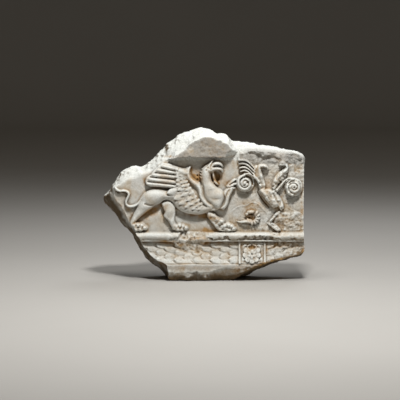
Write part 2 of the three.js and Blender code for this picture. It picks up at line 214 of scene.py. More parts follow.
def groove(points, floor=None):  # cuts a rounded channel, "rise" is its depth
    w, best = strokeProfile(points, 2)
    cut = field[w] - np.maximum(best, 0)
    field[w] = cut if floor is None else np.maximum(cut, np.minimum(field[w], floor))


def insideDistance(outline, w):  # distance to the outline, positive inside
    x, z = gx[w], gz[w]
    inside = np.zeros(x.shape, bool)
    near = np.full(x.shape, 1e9)
    for a, b in zip(outline, np.roll(outline, -1, axis=0)):
        dx, dz = b[0] - a[0], b[1] - a[1]
        t = np.clip(((x - a[0]) * dx + (z - a[1]) * dz) / (dx * dx + dz * dz + 1e-9), 0, 1)
        near = np.minimum(near, np.hypot(x - a[0] - t * dx, z - a[1] - t * dz))
        if abs(dz) > 1e-9:
            inside ^= ((a[1] > z) != (b[1] > z)) & (x < a[0] + dx * (z - a[1]) / dz)
    return np.where(inside, near, -near)


def pad(points, rise, edge, blend, smooth=True):  # a raised shape with rounded edges
    outline = through(points, 5, closed=True) if smooth else np.array(points, float)
    w = windowOf(outline[:, 0].min() - 10, outline[:, 0].max() + 10,
                 outline[:, 1].min() - 10, outline[:, 1].max() + 10)
    d = insideDistance(outline[:, :2], w)
    q = 1 - np.clip(d / edge, 0, 1)
    body = rise * np.sqrt(np.clip(1 - q * q, 0, 1))
    field[w] = smoothMax(field[w], np.where(d > 0, body, 1.6 * d), blend)


def dome(x, z, wide, high, rise, turn=0.0, blend=4.0, base=0.0, add=False):  # an oval swelling
    reach = max(wide, high) + 10
    w = windowOf(x - reach, x + reach, z - reach, z + reach)
    q = np.hypot(*inOval(gx[w], gz[w], x, z, wide, high, turn))
    body = rise * np.sqrt(np.clip(1 - q * q, 0, 1))
    if add:
        field[w] += rise * np.clip(1 - q * q, 0, 1) ** 2
    else:
        field[w] = smoothMax(field[w], base + np.where(q < 1, body, -1.6 * (q - 1) * min(wide, high)), blend)


def dent(x, z, wide, high, depth, turn=0.0, power=1.0):  # an oval hollow, a higher power squares its sides
    reach = max(wide, high) * 1.6
    w = windowOf(x - reach, x + reach, z - reach, z + reach)
    u, v = inOval(gx[w], gz[w], x, z, wide, high, turn)
    field[w] -= depth * np.exp(-(u * u + v * v) ** power)


def riseAt(x, z):
    column = int(round((x - grid["left"]) / grid["cell"]))
    row = int(round((z - grid["low"]) / grid["cell"]))
    return float(field[row, column])


def pulled(target, share):  # draws the carving towards another surface
    field[:] = field + (target - field) * share


def placed(name, data):  # a new object at the origin
    made = bpy.data.objects.new(name, data)
    bpy.context.scene.collection.objects.link(made)
    return made


# mouldings

mouldings = {
    "ledgeTop": 217.0, "ledgeBottom": 185.0, "ledgeRise": 40.0, "filletBottom": 176.0, "filletRise": 27.0,
    "bandTop": 172.0, "bandBottom": 80.0, "bandTopRise": 3.0, "bandBottomRise": 39.0, "bandHollow": 7.0,
    "plinthTop": 76.0, "plinthRise": 46.0, "lip": 3.0, "shoulder": 5.0, "shoulderRise": 12.0, "sway": 1.4,
}
bandSlope = 38 / 92  # how far the band leans back


def bandRise(z):
    m = mouldings
    share = np.clip((m["bandTop"] - z) / (m["bandTop"] - m["bandBottom"]), 0, 1)
    return (m["bandTopRise"] + share * (m["bandBottomRise"] - m["bandTopRise"])
            - m["bandHollow"] * np.sin(math.pi * share))


def runMouldings():
    m = mouldings
    section = np.zeros(len(zLine))
    z = zLine
    section[z < m["plinthTop"]] = m["plinthRise"]
    lip = (z >= m["plinthTop"]) & (z < m["bandBottom"] + 1)
    section[lip] = m["bandBottomRise"] - m["lip"]
    band = (z >= m["bandBottom"] + 1) & (z < m["bandTop"])
    section[band] = bandRise(z[band])
    section[(z >= m["bandTop"]) & (z < m["filletBottom"])] = m["bandTopRise"]
    section[(z >= m["filletBottom"]) & (z < m["ledgeBottom"])] = m["filletRise"]
    middle, half = (m["ledgeTop"] + m["ledgeBottom"]) / 2, (m["ledgeTop"] - m["ledgeBottom"]) / 2
    roll = (z >= m["ledgeBottom"]) & (z < m["ledgeTop"])
    curve = np.sqrt(np.clip(1 - ((z[roll] - middle) / half) ** 2, 0, 1))
    section[roll] = m["ledgeRise"] - half + half * curve
    shoulder = (z >= m["ledgeTop"]) & (z < m["ledgeTop"] + m["shoulder"])
    section[shoulder] = m["shoulderRise"] * (1 - (z[shoulder] - m["ledgeTop"]) / m["shoulder"]) ** 2
    sway = m["sway"] * layered(gx, 0 * gx, 0 * gx, 85, 31, 2)
    field[:] = np.interp(gz + sway, zLine, section)


# geometry node trees for what repeats

class Wire:  # a socket that can stand in a sum
    def __init__(self, tree, socket):
        self.tree, self.socket = tree, socket

    def sum(self, operation, a, b=0.0, clamp=False):
        return self.tree.wire("ShaderNodeMath", {"operation": operation, "use_clamp": clamp}, _0=a, _1=b)

    def __add__(self, other):
        return self.sum("ADD", self, other)

    def __radd__(self, other):
        return self.sum("ADD", other, self)

    def __sub__(self, other):
        return self.sum("SUBTRACT", self, other)

    def __rsub__(self, other):
        return self.sum("SUBTRACT", other, self)

    def __mul__(self, other):
        return self.sum("MULTIPLY", self, other)

    def __rmul__(self, other):
        return self.sum("MULTIPLY", other, self)

    def __truediv__(self, other):
        return self.sum("DIVIDE", self, other)

    def __rtruediv__(self, other):
        return self.sum("DIVIDE", other, self)

    def held(self):  # kept between 0 and 1
        return self.sum("ADD", self, 0.0, clamp=True)

    def between(self, low, high):  # 0 below "low", 1 above "high", smooth between
        return self.tree.wire("ShaderNodeMapRange", {"interpolation_type": "SMOOTHSTEP"}, Value=self, _1=low,
                              _2=high)


class Tree:  # a node tree, every node of it made by one method
    def __init__(self, name, tree=None):
        self.tree = tree or bpy.data.node_groups.new(name, "GeometryNodeTree")
        self.ids = {}
        self.group = None

    def takes(self, name, kind, default=None):
        socket = self.tree.interface.new_socket(name=name, in_out="INPUT", socket_type=kind)
        if default is not None:
            socket.default_value = default
        self.ids[name] = socket.identifier

    def given(self, name):
        self.group = self.group or self.tree.nodes.new("NodeGroupInput")
        return Wire(self, self.group.outputs[name])

    def node(self, kind, settings=None, **inputs):  # "_2" is the third socket, other keys are socket names
        made = self.tree.nodes.new(kind)
        for key, value in (settings or {}).items():
            if key == "stops":
                for n, (place, colour) in enumerate(value):
                    stop = made.color_ramp.elements[n] if n < 2 else made.color_ramp.elements.new(place)
                    stop.position, stop.color = place, colour
            else:
                setattr(made, key, value)
        for key, value in inputs.items():
            socket = made.inputs[int(key[1:]) if key[1:].isdigit() else key.replace("_", " ")]
            if isinstance(value, Wire):
                self.tree.links.new(value.socket, socket)
            else:
                socket.default_value = value
        return made

    def wire(self, kind, settings=None, out=0, **inputs):
        return Wire(self, self.node(kind, settings, **inputs).outputs[out])


def finishTree(t, geometry):
    t.tree.interface.new_socket(name="Geometry", in_out="OUTPUT", socket_type="NodeSocketGeometry")
    real = t.wire("GeometryNodeRealizeInstances", Geometry=geometry)
    t.node("NodeGroupOutput", _0=t.wire("GeometryNodeSetMaterial", Geometry=real,
                                        Material=t.given("Material")))
    return t


def repeated(t):  # the geometry of the small shape that a tree repeats
    return t.wire("GeometryNodeObjectInfo", {"transform_space": "ORIGINAL"}, out=4, Object=t.given("Shape"))


def scatterTree():  # sets a carved leaf or feather on every point of a layout
    t = Tree("layCarving")
    t.takes("Geometry", "NodeSocketGeometry")
    t.takes("Shape", "NodeSocketObject")
    t.takes("Size jitter", "NodeSocketFloat", 0.06)
    t.takes("Turn jitter", "NodeSocketFloat", 0.05)
    t.takes("Seed", "NodeSocketInt", 4)
    t.takes("Material", "NodeSocketMaterial")

    def laidOut(name):
        return t.wire("GeometryNodeInputNamedAttribute", {"data_type": "FLOAT"}, Name=name)

    def wobble(amount, offset):
        return t.wire("FunctionNodeRandomValue", {"data_type": "FLOAT"}, out=1, _2=-1 * amount, _3=amount,
                      Seed=t.given("Seed") + offset)

    turn = laidOut("turn") + wobble(t.given("Turn jitter"), 11)
    size = laidOut("size") + wobble(t.given("Size jitter"), 23)
    laid = t.wire("GeometryNodeInstanceOnPoints", Points=t.given("Geometry"), Instance=repeated(t),
                  Rotation=t.wire("ShaderNodeCombineXYZ", X=laidOut("tilt"), Y=turn),
                  Scale=t.wire("ShaderNodeCombineXYZ", X=size, Y=laidOut("depth"), Z=size))
    return finishTree(t, laid)


def ringTree():  # petals set round a centre
    t = Tree("ringOfPetals")
    t.takes("Geometry", "NodeSocketGeometry")
    t.takes("Shape", "NodeSocketObject")
    t.takes("Petals", "NodeSocketInt", 9)
    t.takes("Ring radius", "NodeSocketFloat", 0.01)
    t.takes("Size", "NodeSocketFloat", 1.0)
    t.takes("Turned", "NodeSocketFloat", 0.0)
    t.takes("Material", "NodeSocketMaterial")
    circle = t.wire("GeometryNodeMeshCircle", Vertices=t.given("Petals"), Radius=t.given("Ring radius"))
    upright = t.wire("GeometryNodeTransform", Geometry=circle,
                     Rotation=t.wire("ShaderNodeCombineXYZ", X=math.pi / 2, Y=-1 * t.given("Turned")))
    angle = t.wire("GeometryNodeInputIndex") * (-2 * math.pi / t.given("Petals")) - t.given("Turned")
    laid = t.wire("GeometryNodeInstanceOnPoints", Points=upright, Instance=repeated(t),
                  Rotation=t.wire("ShaderNodeCombineXYZ", Y=angle), Scale=t.given("Size"))
    return finishTree(t, laid)


def spiralTree():  # a tapering stem wound into a scroll
    t = Tree("woundStem")
    t.takes("Geometry", "NodeSocketGeometry")
    t.takes("Turns", "NodeSocketFloat", 1.8)
    t.takes("Eye radius", "NodeSocketFloat", 0.006)
    t.takes("Outer radius", "NodeSocketFloat", 0.036)
    t.takes("Stem radius", "NodeSocketFloat", 0.006)
    t.takes("Eye taper", "NodeSocketFloat", 0.6)
    t.takes("Turned", "NodeSocketFloat", 0.0)
    t.takes("Clockwise", "NodeSocketBool", False)
    t.takes("Material", "NodeSocketMaterial")
    spiral = t.wire("GeometryNodeCurveSpiral", Resolution=40, Rotations=t.given("Turns"),
                    Start_Radius=t.given("Eye radius"), End_Radius=t.given("Outer radius"), Height=0.0,
                    Reverse=t.given("Clockwise"))
    upright = t.wire("GeometryNodeTransform", Geometry=spiral,
                     Rotation=t.wire("ShaderNodeCombineXYZ", X=math.pi / 2, Y=t.given("Turned")))
    width = t.wire("ShaderNodeMapRange", Value=t.wire("GeometryNodeSplineParameter"),
                   To_Min=t.given("Eye taper"), To_Max=1.0)
    tapered = t.wire("GeometryNodeSetCurveRadius", Curve=upright, Radius=width)
    section = t.wire("GeometryNodeCurvePrimitiveCircle", Resolution=12, Radius=t.given("Stem radius"))
    swept = t.wire("GeometryNodeCurveToMesh", Curve=tapered, Profile_Curve=section, Fill_Caps=True)
    return finishTree(t, swept)


# a tree's result as a plain mesh
def grown(name, tree, points=None, values=None, place=(0, 0, 0), **settings):
    mesh = bpy.data.meshes.new(name)
    mesh.from_pydata([tuple(p) for p in (points if points is not None else [(0, 0, 0)])], [], [])
    for key, row in (values or {}).items():
        made = mesh.attributes.new(key, "FLOAT", "POINT")
        made.data.foreach_set("value", np.array(row, np.float32))
    host = placed(name, mesh)
    modifier = host.modifiers.new("grow", "NODES")
    modifier.node_group = tree.tree
    for key, value in settings.items():
        modifier[tree.ids[key.replace("_", " ")]] = value
    shaped = bpy.data.meshes.new_from_object(host.evaluated_get(bpy.context.evaluated_depsgraph_get()))
    bpy.data.objects.remove(host)
    shaped.transform(Matrix.Translation(place))
    return shaped


def castOn(mesh, blend):  # lays a mesh on the height grid: what is nearest the viewer wins
    mesh.calc_loop_triangles()
    verts = [v.co for v in mesh.vertices]
    tree = BVHTree.FromPolygons(verts, [tuple(t.vertices) for t in mesh.loop_triangles], all_triangles=True)
    co = np.array(verts) / mm
    w = windowOf(co[:, 0].min() - 3, co[:, 0].max() + 3, co[:, 2].min() - 3, co[:, 2].max() + 3)
    x, z, hit = gx[w], gz[w], np.full(gx[w].shape, -30.0)
    towards = Vector((0, 1, 0))
    for i in np.ndindex(x.shape):
        found = tree.ray_cast(Vector((x[i] * mm, -0.5, z[i] * mm)), towards)[0]
        if found is not None:
            hit[i] = (fieldPlane - found.y) / mm
    field[w] = smoothMax(field[w], hit, blend)
    bpy.data.meshes.remove(mesh)


# small shapes that the trees repeat, each along +X with its face towards -Y

leafSteps = (12, 9)  # faces along a small leaf, points across it


def leafSheet(name, length, width, lift, arch, outline, mid, rim=0.0, slant=0.0):
    nu, nv = leafSteps
    mesh = bpy.data.meshes.new(name)
    made = bmesh.new()
    rows = []
    for i in range(nu + 1):
        u = i / nu
        half = width / 2 * np.interp(u, outline[0], outline[1])
        row = []
        for j in range(nv):
            v = -1 + 2 * j / (nv - 1)
            rise = lift * u + arch * (1 - v * v) + slant * v * min(1, 2 * u) + mid * math.exp(-(v * 5) ** 2)
            rise += rim * (abs(v) ** 6 + max(0, u - 0.8) * 4)
            row.append(made.verts.new((length * u * mm, -rise * mm, half * v * mm)))
        rows.append(row)
    for a, b in zip(rows[:-1], rows[1:]):
        for j in range(nv - 1):
            made.faces.new((a[j], a[j + 1], b[j + 1], b[j]))
    made.to_mesh(mesh)
    made.free()
    return placed(name, mesh)


# outlines of small shapes: share of the length, share of the width there
leafTip = ([0, 0.15, 0.4, 0.62, 0.8, 0.92, 1], [0.45, 0.75, 1, 0.93, 0.66, 0.36, 0.03])
roundedTip = ([0, 0.15, 0.55, 0.8, 0.93, 1], [0.5, 0.8, 1, 0.86, 0.52, 0.08])
stone = bpy.data.materials.new("weatheredMarble")
layTree, petalTree, woundTree = scatterTree(), ringTree(), spiralTree()


# the leaf band and its clasp

bandLeaf = {"length": 76, "width": 33, "lift": 6.3, "arch": 2.4, "pitch": 81.5,
            "rows": [159, 143, 127, 111, 95], "claspX": 214.0, "firstTip": 101.0, "seed": 7}


def carveBand():
    b = bandLeaf
    leaf = leafSheet("bandLeaf", b["length"], b["width"], b["lift"], b["arch"], roundedTip, mid=0.8)
    slope = math.atan(bandSlope)
    points, turn, tilt, tips = [], [], [], []
    for row, z in enumerate(b["rows"]):
        for i in range(-1, 8):
            for way in (-1, 1):
                tip = b["claspX"] + way * (b["firstTip"] + (i + (row % 2) / 2) * b["pitch"])
                x = tip - way * b["length"]
                points.append((x * mm, fieldPlane - (float(bandRise(z)) - 2.0) * mm, z * mm))
                turn.append(0 if way > 0 else math.pi)
                tilt.append(-way * slope)
                tips.append((tip, z, way))
    ones = [1.0] * len(points)
    mesh = grown("bandLeaves", layTree, points, {"turn": turn, "size": ones, "tilt": tilt, "depth": ones},
                 Shape=leaf, Seed=b["seed"], Material=stone, Size_jitter=0.05, Turn_jitter=0.03)
    castOn(mesh, blend=0.6)
    for tip, z, way in tips:  # a drilled nick under every tip, a vein along every leaf
        if abs(tip) < 452 and abs(tip - b["claspX"]) > 70:
            dent(tip + way * 1, z - 8, 8, 2.2, 6.0, turn=way * 38)
            dent(tip - way * 14, z - 14, 10, 1.6, 2.4, turn=way * 10)
            groove([(tip - way * 30, z + 1, 1.0, 1.6), (tip - way * 8, z, 1.0, 1.6)])


rosette = {"x": 214.5, "z": 122.0, "petals": 9, "radius": 43.0, "inner": 6, "turned": -math.pi / 2}


def circle(x, z, radius, depth, width, angles):  # the points of a groove round a centre
    return [(x + radius * math.cos(a), z + radius * math.sin(a), depth, width) for a in angles]


def carveClasp():
    r = rosette
    w = windowOf(156, 276, 82, 171)
    field[w] = bandRise(gz[w]) + 5.0
    for x in (160, 273):
        w = windowOf(x - 4, x + 4, 80, 172)
        field[w] = bandRise(gz[w]) + 13 - 0.35 * (gx[w] - x) ** 2 / 2
    for x, z, lean in ((184, 150, 1), (246, 150, -1), (180, 92, 1), (252, 92, -1)):  # curled corner leaves
        dome(x, z, 11, 13, 6, base=float(bandRise(z)) + 5, blend=1.5)
        dent(x + lean, z - 1, 5, 7, 6)
    petal = leafSheet("rosettePetal", r["radius"] * 0.76, 27, 3.0, 2.2, roundedTip, mid=-1.2, rim=0.8)
    small = leafSheet("innerPetal", 15, 14, 2.5, 2.5, roundedTip, mid=1.0)
    middle = float(bandRise(r["z"]))
    disc = windowOf(r["x"] - 46, r["x"] + 46, r["z"] - 42, r["z"] + 46)
    away = np.hypot(gx[disc] - r["x"], gz[disc] - r["z"])
    field[disc] = np.where(away < 42, bandRise(gz[disc]) + 5 + 4 * smoothStep(43, 30, away), field[disc])
    for shape, count, ring, rise, turned in ((petal, r["petals"], 9, 16.0, r["turned"]),
                                             (small, r["inner"], 4, 20.5, 0.5)):
        mesh = grown("petals", petalTree, Shape=shape, Petals=count, Ring_radius=ring * mm, Size=1.0,
                     Turned=turned, Material=stone, place=(r["x"] * mm, fieldPlane - (middle + rise) * mm,
                                                           r["z"] * mm))
        for v in mesh.vertices:
            v.co.y += (v.co.z - r["z"] * mm) * bandSlope  # the flower leans back with the band
        castOn(mesh, blend=0.5)
    for i in range(r["petals"]):  # dark gaps between the petals
        a = 2 * math.pi * (i + 0.5) / r["petals"] + r["turned"]
        c, s = math.cos(a), math.sin(a)
        groove([(r["x"] + 17 * c, r["z"] + 17 * s, 3.0, 1.2), (r["x"] + 41 * c, r["z"] + 41 * s, 7, 2.0)])
    groove(circle(r["x"], r["z"], 15, 3, 1.6, np.linspace(0, 6.28, 19)))
    dome(r["x"], r["z"], 7, 7, 6, base=riseAt(r["x"], r["z"]) - 2, blend=1.0)
    groove(circle(r["x"], r["z"], 8.5, 3, 1.6, np.linspace(0, 6.28, 13)))
    dent(214, 151, 17, 9, 13, power=2)  # the top petal is gone
    ridge([(198, 158, 3, 3), (214, 164, 4, 3), (230, 158, 3, 3)])


# the griffin

# wears what stands up in a window uneven, from nothing at rise "low" to the full depth at "high"
def lumpy(w, low, high, size, seed, octaves, fade, depth, sunk=0.0):
    field[w] += smoothStep(low, high, field[w]) * (depth * uneven(size, seed, octaves, fade, w) - sunk)


def carveBody():
    # far hind leg with its hock, far foreleg worn to lumps
    pad([(-188, 344), (-180, 322), (-175, 308), (-180, 291), (-169, 279), (-160, 269), (-152, 256),
         (-146, 245), (-139, 231), (-118, 225), (-96, 223), (-78, 227), (-73, 236), (-80, 247), (-94, 253),
         (-108, 255), (-121, 254), (-128, 262), (-130, 278), (-127, 300), (-127, 318), (-130, 338),
         (-150, 356), (-172, 356)], 16, 8, blend=1.5)
    dome(-153, 316, 22, 34, 6, add=True)
    dome(-143, 268, 12, 26, 4, turn=-20, add=True)
    pad([(18, 312), (40, 308), (50, 298), (64, 288), (80, 275), (92, 259), (108, 263), (123, 255),
         (136, 244), (139, 231), (128, 221), (106, 218), (88, 219), (68, 225), (54, 236), (45, 249),
         (34, 262), (24, 275), (14, 292)], 17, 6, blend=1.5)
    for x, z, wide, rise in ((40, 292, 17, 23), (58, 276, 15, 22), (70, 258, 14, 23), (82, 246, 12, 22)):
        dome(x, z, wide, wide * 0.8, rise, turn=-40, blend=2)
    lumpy(windowOf(20, 142, 216, 306), 6, 14, 15, 152, 3, 0.5, depth=3.0, sunk=1.0)
    # barrel
    pad([(-262, 392), (-241, 407), (-206, 411), (-172, 406), (-120, 400), (-60, 430), (0, 420), (60, 400),
         (80, 366), (80, 336), (62, 318), (36, 313), (8, 303), (-28, 296), (-66, 300), (-98, 311),
         (-121, 327), (-142, 353), (-158, 362), (-176, 361), (-200, 353), (-222, 342), (-246, 342),
         (-268, 356)], 30, 26, blend=2)
    # near hind leg with the haunch over it
    raise_([(-246, 356, 30, 32), (-262, 338, 28, 29), (-283, 313, 26, 21), (-303, 288, 24, 15),
            (-319, 262, 21, 12), (-323, 244, 18, 12)], blend=3)
    dome(-226, 374, 54, 36, 35, turn=14, blend=8)
    dome(-268, 338, 32, 22, 28, turn=48, blend=8)
    dome(-222, 384, 46, 26, 4, turn=10, add=True)
    dent(-302, 300, 5, 22, 2.5, turn=-38)
    pad([(-335, 240), (-330, 254), (-314, 262), (-292, 262), (-272, 257), (-260, 246), (-259, 232),
         (-274, 224), (-300, 221), (-324, 226)], 22, 8, blend=1.5)
    # breast and neck in one sweep up to the head
    pad([(-13, 486), (-13, 456), (-11, 440), (-9, 416), (-4, 392), (8, 366), (28, 344), (48, 328), (66, 322),
         (78, 332), (85, 350), (92, 370), (91, 394), (80, 409), (60, 420), (46, 434), (36, 449), (32, 468),
         (33, 490), (24, 512), (0, 512)], 41, 26, blend=3)
    dome(30, 424, 42, 26, 6, turn=-25, add=True)
    dome(54, 388, 38, 24, 7, turn=-10, add=True)
    dome(60, 352, 28, 20, 7, add=True)
    dome(12, 470, 16, 40, 4, add=True)
    groove([(16, 376, 1.0, 4), (40, 371, 3, 5), (62, 370, 3.4, 5), (80, 376, 2, 4)])
    groove([(4, 402, 0.8, 4), (28, 408, 1.4, 4), (52, 408, 1.2, 4)])
    # the raised foreleg: sinews, then the claw on the scroll
    pad([(86, 394), (95, 410), (108, 421), (124, 434), (135, 431), (131, 413), (126, 395), (116, 376),
         (111, 350), (98, 331), (81, 321), (66, 326), (80, 340), (88, 356), (91, 374)], 25, 8, blend=1.5)
    raise_([(88, 326, 24, 7), (100, 344, 27, 8), (106, 366, 27, 8), (113, 388, 27, 7.5), (124, 408, 25, 7)],
           blend=2.5)
    groove([(88, 340, 3, 3), (94, 356, 5, 3), (98, 376, 5, 3), (104, 396, 4, 3), (114, 412, 3, 2.5)])
    for toe in ([(106, 424, 22, 7), (120, 440, 22, 6.5), (133, 451, 20, 6), (140, 455, 16, 4)],
                [(114, 422, 24, 7), (127, 432, 24, 6), (137, 435, 21, 5.5), (143, 434, 16, 4)],
                [(104, 410, 24, 7), (118, 413, 24, 6), (130, 416, 22, 5.5), (138, 416, 16, 4)]):
        raise_(toe, blend=1.0)
    groove([(112, 431, 5, 2.4), (124, 438, 7, 2.4), (138, 445, 8, 2.6)])
    groove([(112, 418, 5, 2.4), (124, 423, 7, 2.4), (140, 425, 8, 2.6)])
    # folds where the legs meet the trunk
    groove([(-262, 346, 5, 5), (-238, 341, 6, 5), (-212, 347, 6, 5), (-188, 360, 3, 4)])
    groove([(74, 326, 5, 4), (86, 342, 7, 4), (93, 360, 5, 3.5), (95, 382, 3, 3)])
    dome(44, 318, 16, 9, 8, add=True)
    dent(38, 308, 10, 5, 6, turn=-20)


def carvePaws():
    claws = {"hind": [(-311, 250), (-294, 249), (-277, 249), (-266, 239), (-284, 232), (-303, 231)],
             "far": [(-122, 244), (-107, 247), (-93, 244), (-82, 238), (-98, 230), (-115, 231)],
             "fore": [(78, 268), (94, 246), (110, 250), (123, 244), (131, 234), (113, 230)]}
    for paw, lift in (("hind", 25), ("far", 19), ("fore", 22)):
        for x, z in claws[paw]:
            dome(x, z, 9.5, 8.0, lift * 0.5, turn=-25, base=lift * 0.55, blend=1.0)
        for (ax, az), (bx, bz) in zip(claws[paw], claws[paw][1:]):
            dent((ax + bx) / 2, (az + bz) / 2, 2.4, 4.0, 6, turn=-20)
    for x, z in ((-292, 240), (-318, 229), (-270, 226), (-106, 238), (-88, 228), (102, 240), (118, 222),
                 (84, 232)):
        dent(x, z, 4.5, 2.6, 10, turn=10)


def carveTail():
    raise_([(-262, 388, 14, 8), (-275, 371, 12, 7), (-286, 354, 12, 6.5), (-300, 341, 12, 6.5),
            (-318, 334, 12, 6.5), (-336, 335, 12, 6.2), (-347, 345, 12, 6), (-346, 360, 12, 6),
            (-339, 375, 12, 6), (-335, 388, 12, 6), (-341, 399, 12, 6), (-356, 404, 12, 6),
            (-374, 403, 12, 6), (-388, 408, 11, 7), (-396, 419, 8, 4)], blend=2)
    groove([(-392, 402, 6, 3), (-383, 395, 8, 4), (-374, 394, 5, 3)])
    groove([(-366, 396, 5, 2.5), (-352, 394, 6, 3), (-343, 390, 4, 2)])


wing = {
    "covert": {"length": 44, "width": 26, "lift": 5.5, "arch": 3.4, "slant": 1.2}, "seed": 12, "flight": 23.0,
    # rows of small feathers: where their tips lie, how many, first and last size, first and last heading
    "rows": [([(-165, 395), (-133, 368), (-111, 346), (-86, 330), (-54, 322), (-28, 319)], 6, 1.12, 0.62,
              197, 222),
             ([(-118, 409), (-101, 383), (-78, 361), (-61, 342), (-38, 333)], 5, 0.9, 0.62, 201, 220),
             ([(-126, 431), (-95, 420), (-77, 400), (-60, 376), (-42, 357), (-20, 341)], 7, 0.72, 0.52, 196,
              220),
             ([(-127, 449), (-105, 439), (-88, 424)], 3, 0.64, 0.6, 194, 204),
             ([(-128, 466), (-107, 456), (-92, 441)], 3, 0.58, 0.52, 190, 200),
             ([(-112, 473), (-94, 461)], 2, 0.5, 0.48, 190, 200)],
}
wingOutline = np.array([
    (-128, 512), (-114, 510), (-98, 505), (-82, 504), (-70, 510), (-61, 513), (-63, 500), (-68, 486),
    (-66, 474), (-56, 461), (-38, 451), (-18, 441), (-10, 424), (-5, 398), (4, 376), (22, 356), (44, 342),
    (40, 322), (5, 314), (-26, 312), (-62, 319), (-98, 336), (-124, 358), (-150, 378), (-168, 396),
    (-160, 404), (-134, 412), (-128, 424)], float)


def carveWing():
    # long flight feathers, cut off at the break on their left
    pad([(-188, 529), (-150, 525), (-114, 511), (-112, 470), (-120, 416), (-180, 419), (-238, 422),
         (-258, 432), (-262, 446), (-256, 464), (-238, 476), (-222, 497), (-204, 514)], 13, 4, blend=1.5,
        smooth=False)
    h = wing["flight"]
    for (ax, az), (bx, bz) in (((-188, 515), (-116, 500)), ((-207, 496), (-120, 484)),
                               ((-227, 475), (-124, 466)), ((-243, 456), (-126, 443)),
                               ((-252, 436), (-122, 424))):
        raise_([(ax, az, h - 4, 6), (ax + 12, az - 1, h, 9.5),
                ((ax + bx) / 2, (az + bz) / 2 + 1, h + 3, 10.5), (bx, bz, h + 6, 9)], blend=1.0)
        groove([(ax + 16, az + 2, 1.0, 1.6), (bx - 8, bz + 2, 1.2, 1.6)])
    for (ax, az), (bx, bz) in (((-190, 506), (-122, 491)), ((-218, 485), (-126, 476)),
                               ((-238, 466), (-130, 455)), ((-250, 445), (-130, 432))):
        groove([(ax, az, 9, 2.4), ((ax + bx) / 2, (az + bz) / 2, 10, 2.4), (bx, bz, 11, 2.2)], floor=6)
    pad(wingOutline, 31, 8, blend=1.5, smooth=False)
    # smooth shoulder, the hollow behind the rolled leading edge and the roll itself
    raise_([(-116, 499, 30, 9), (-100, 492, 34, 14), (-84, 486, 37, 15), (-70, 484, 37, 11)], blend=5)
    raise_([(-62, 510, 27, 4), (-68, 497, 33, 8), (-70, 480, 36, 10), (-62, 460, 38, 11.5),
            (-46, 443, 40, 12.5), (-27, 429, 42, 12.5), (-17, 409, 43, 11.5), (-15, 387, 44, 11),
            (-6, 367, 43, 11), (8, 350, 41, 10.5), (26, 337, 36, 8)], blend=4)
    groove([(-86, 464, 2, 6), (-72, 446, 7, 9), (-54, 426, 13, 11.5), (-38, 409, 12, 10), (-31, 390, 8, 9),
            (-22, 368, 7, 8), (-8, 350, 6, 7), (10, 336, 4, 6)])
    groove([(-12, 446, 4, 3), (-2, 424, 7, 4), (-1, 400, 8, 4.5), (3, 380, 7, 4.5), (14, 362, 5, 4),
            (30, 348, 3, 4)])
    small = wing["covert"]
    covert = leafSheet("covertFeather", small["length"], small["width"], small["lift"], small["arch"],
                       leafTip, mid=1.6, slant=small["slant"])
    points, turn, size, tips = [], [], [], []
    for row, count, firstSize, lastSize, firstWay, lastWay in wing["rows"]:
        line = through(row, 12)
        for i in range(count):
            share = i / (count - 1)
            x, z = line[int(round(share * (len(line) - 1)))]
            grow = firstSize + share * (lastSize - firstSize)
            way = math.radians(firstWay + share * (lastWay - firstWay))
            c, s = math.cos(way), math.sin(way)
            reach = small["length"] * grow
            sunk = riseAt(x - 0.3 * reach * c, z - 0.3 * reach * s) - 1.5
            points.append(((x - reach * c) * mm, fieldPlane - sunk * mm, (z - reach * s) * mm))
            turn.append(-way)
            size.append(grow)
            tips.append((x, z, way, grow))
    flat = [0.0] * len(points)
    mesh = grown("covertFeathers", layTree, points, {"turn": turn, "size": size, "tilt": flat, "depth": size},
                 Shape=covert, Seed=wing["seed"], Material=stone, Size_jitter=0.04, Turn_jitter=0.06)
    castOn(mesh, blend=0.5)
    for x, z, way, grow in tips:  # a dark cut under the lower side of each tip
        c, s = math.cos(way), math.sin(way)
        dent(x - 5 * grow * c + 2, z - 5 * grow * s - 8 * grow, 8 * grow, 3.4 * grow, 7,
             turn=math.degrees(way) - 190)
        groove([(x - 8 * grow * c, z - 8 * grow * s, 0.8, 1.5),
                (x - 28 * grow * c, z - 28 * grow * s, 0.8, 1.5)])
    dent(-112, 503, 2.6, 2.8, 14)  # drill holes at the shoulder
    dent(-118, 493, 2.2, 3.4, 9)


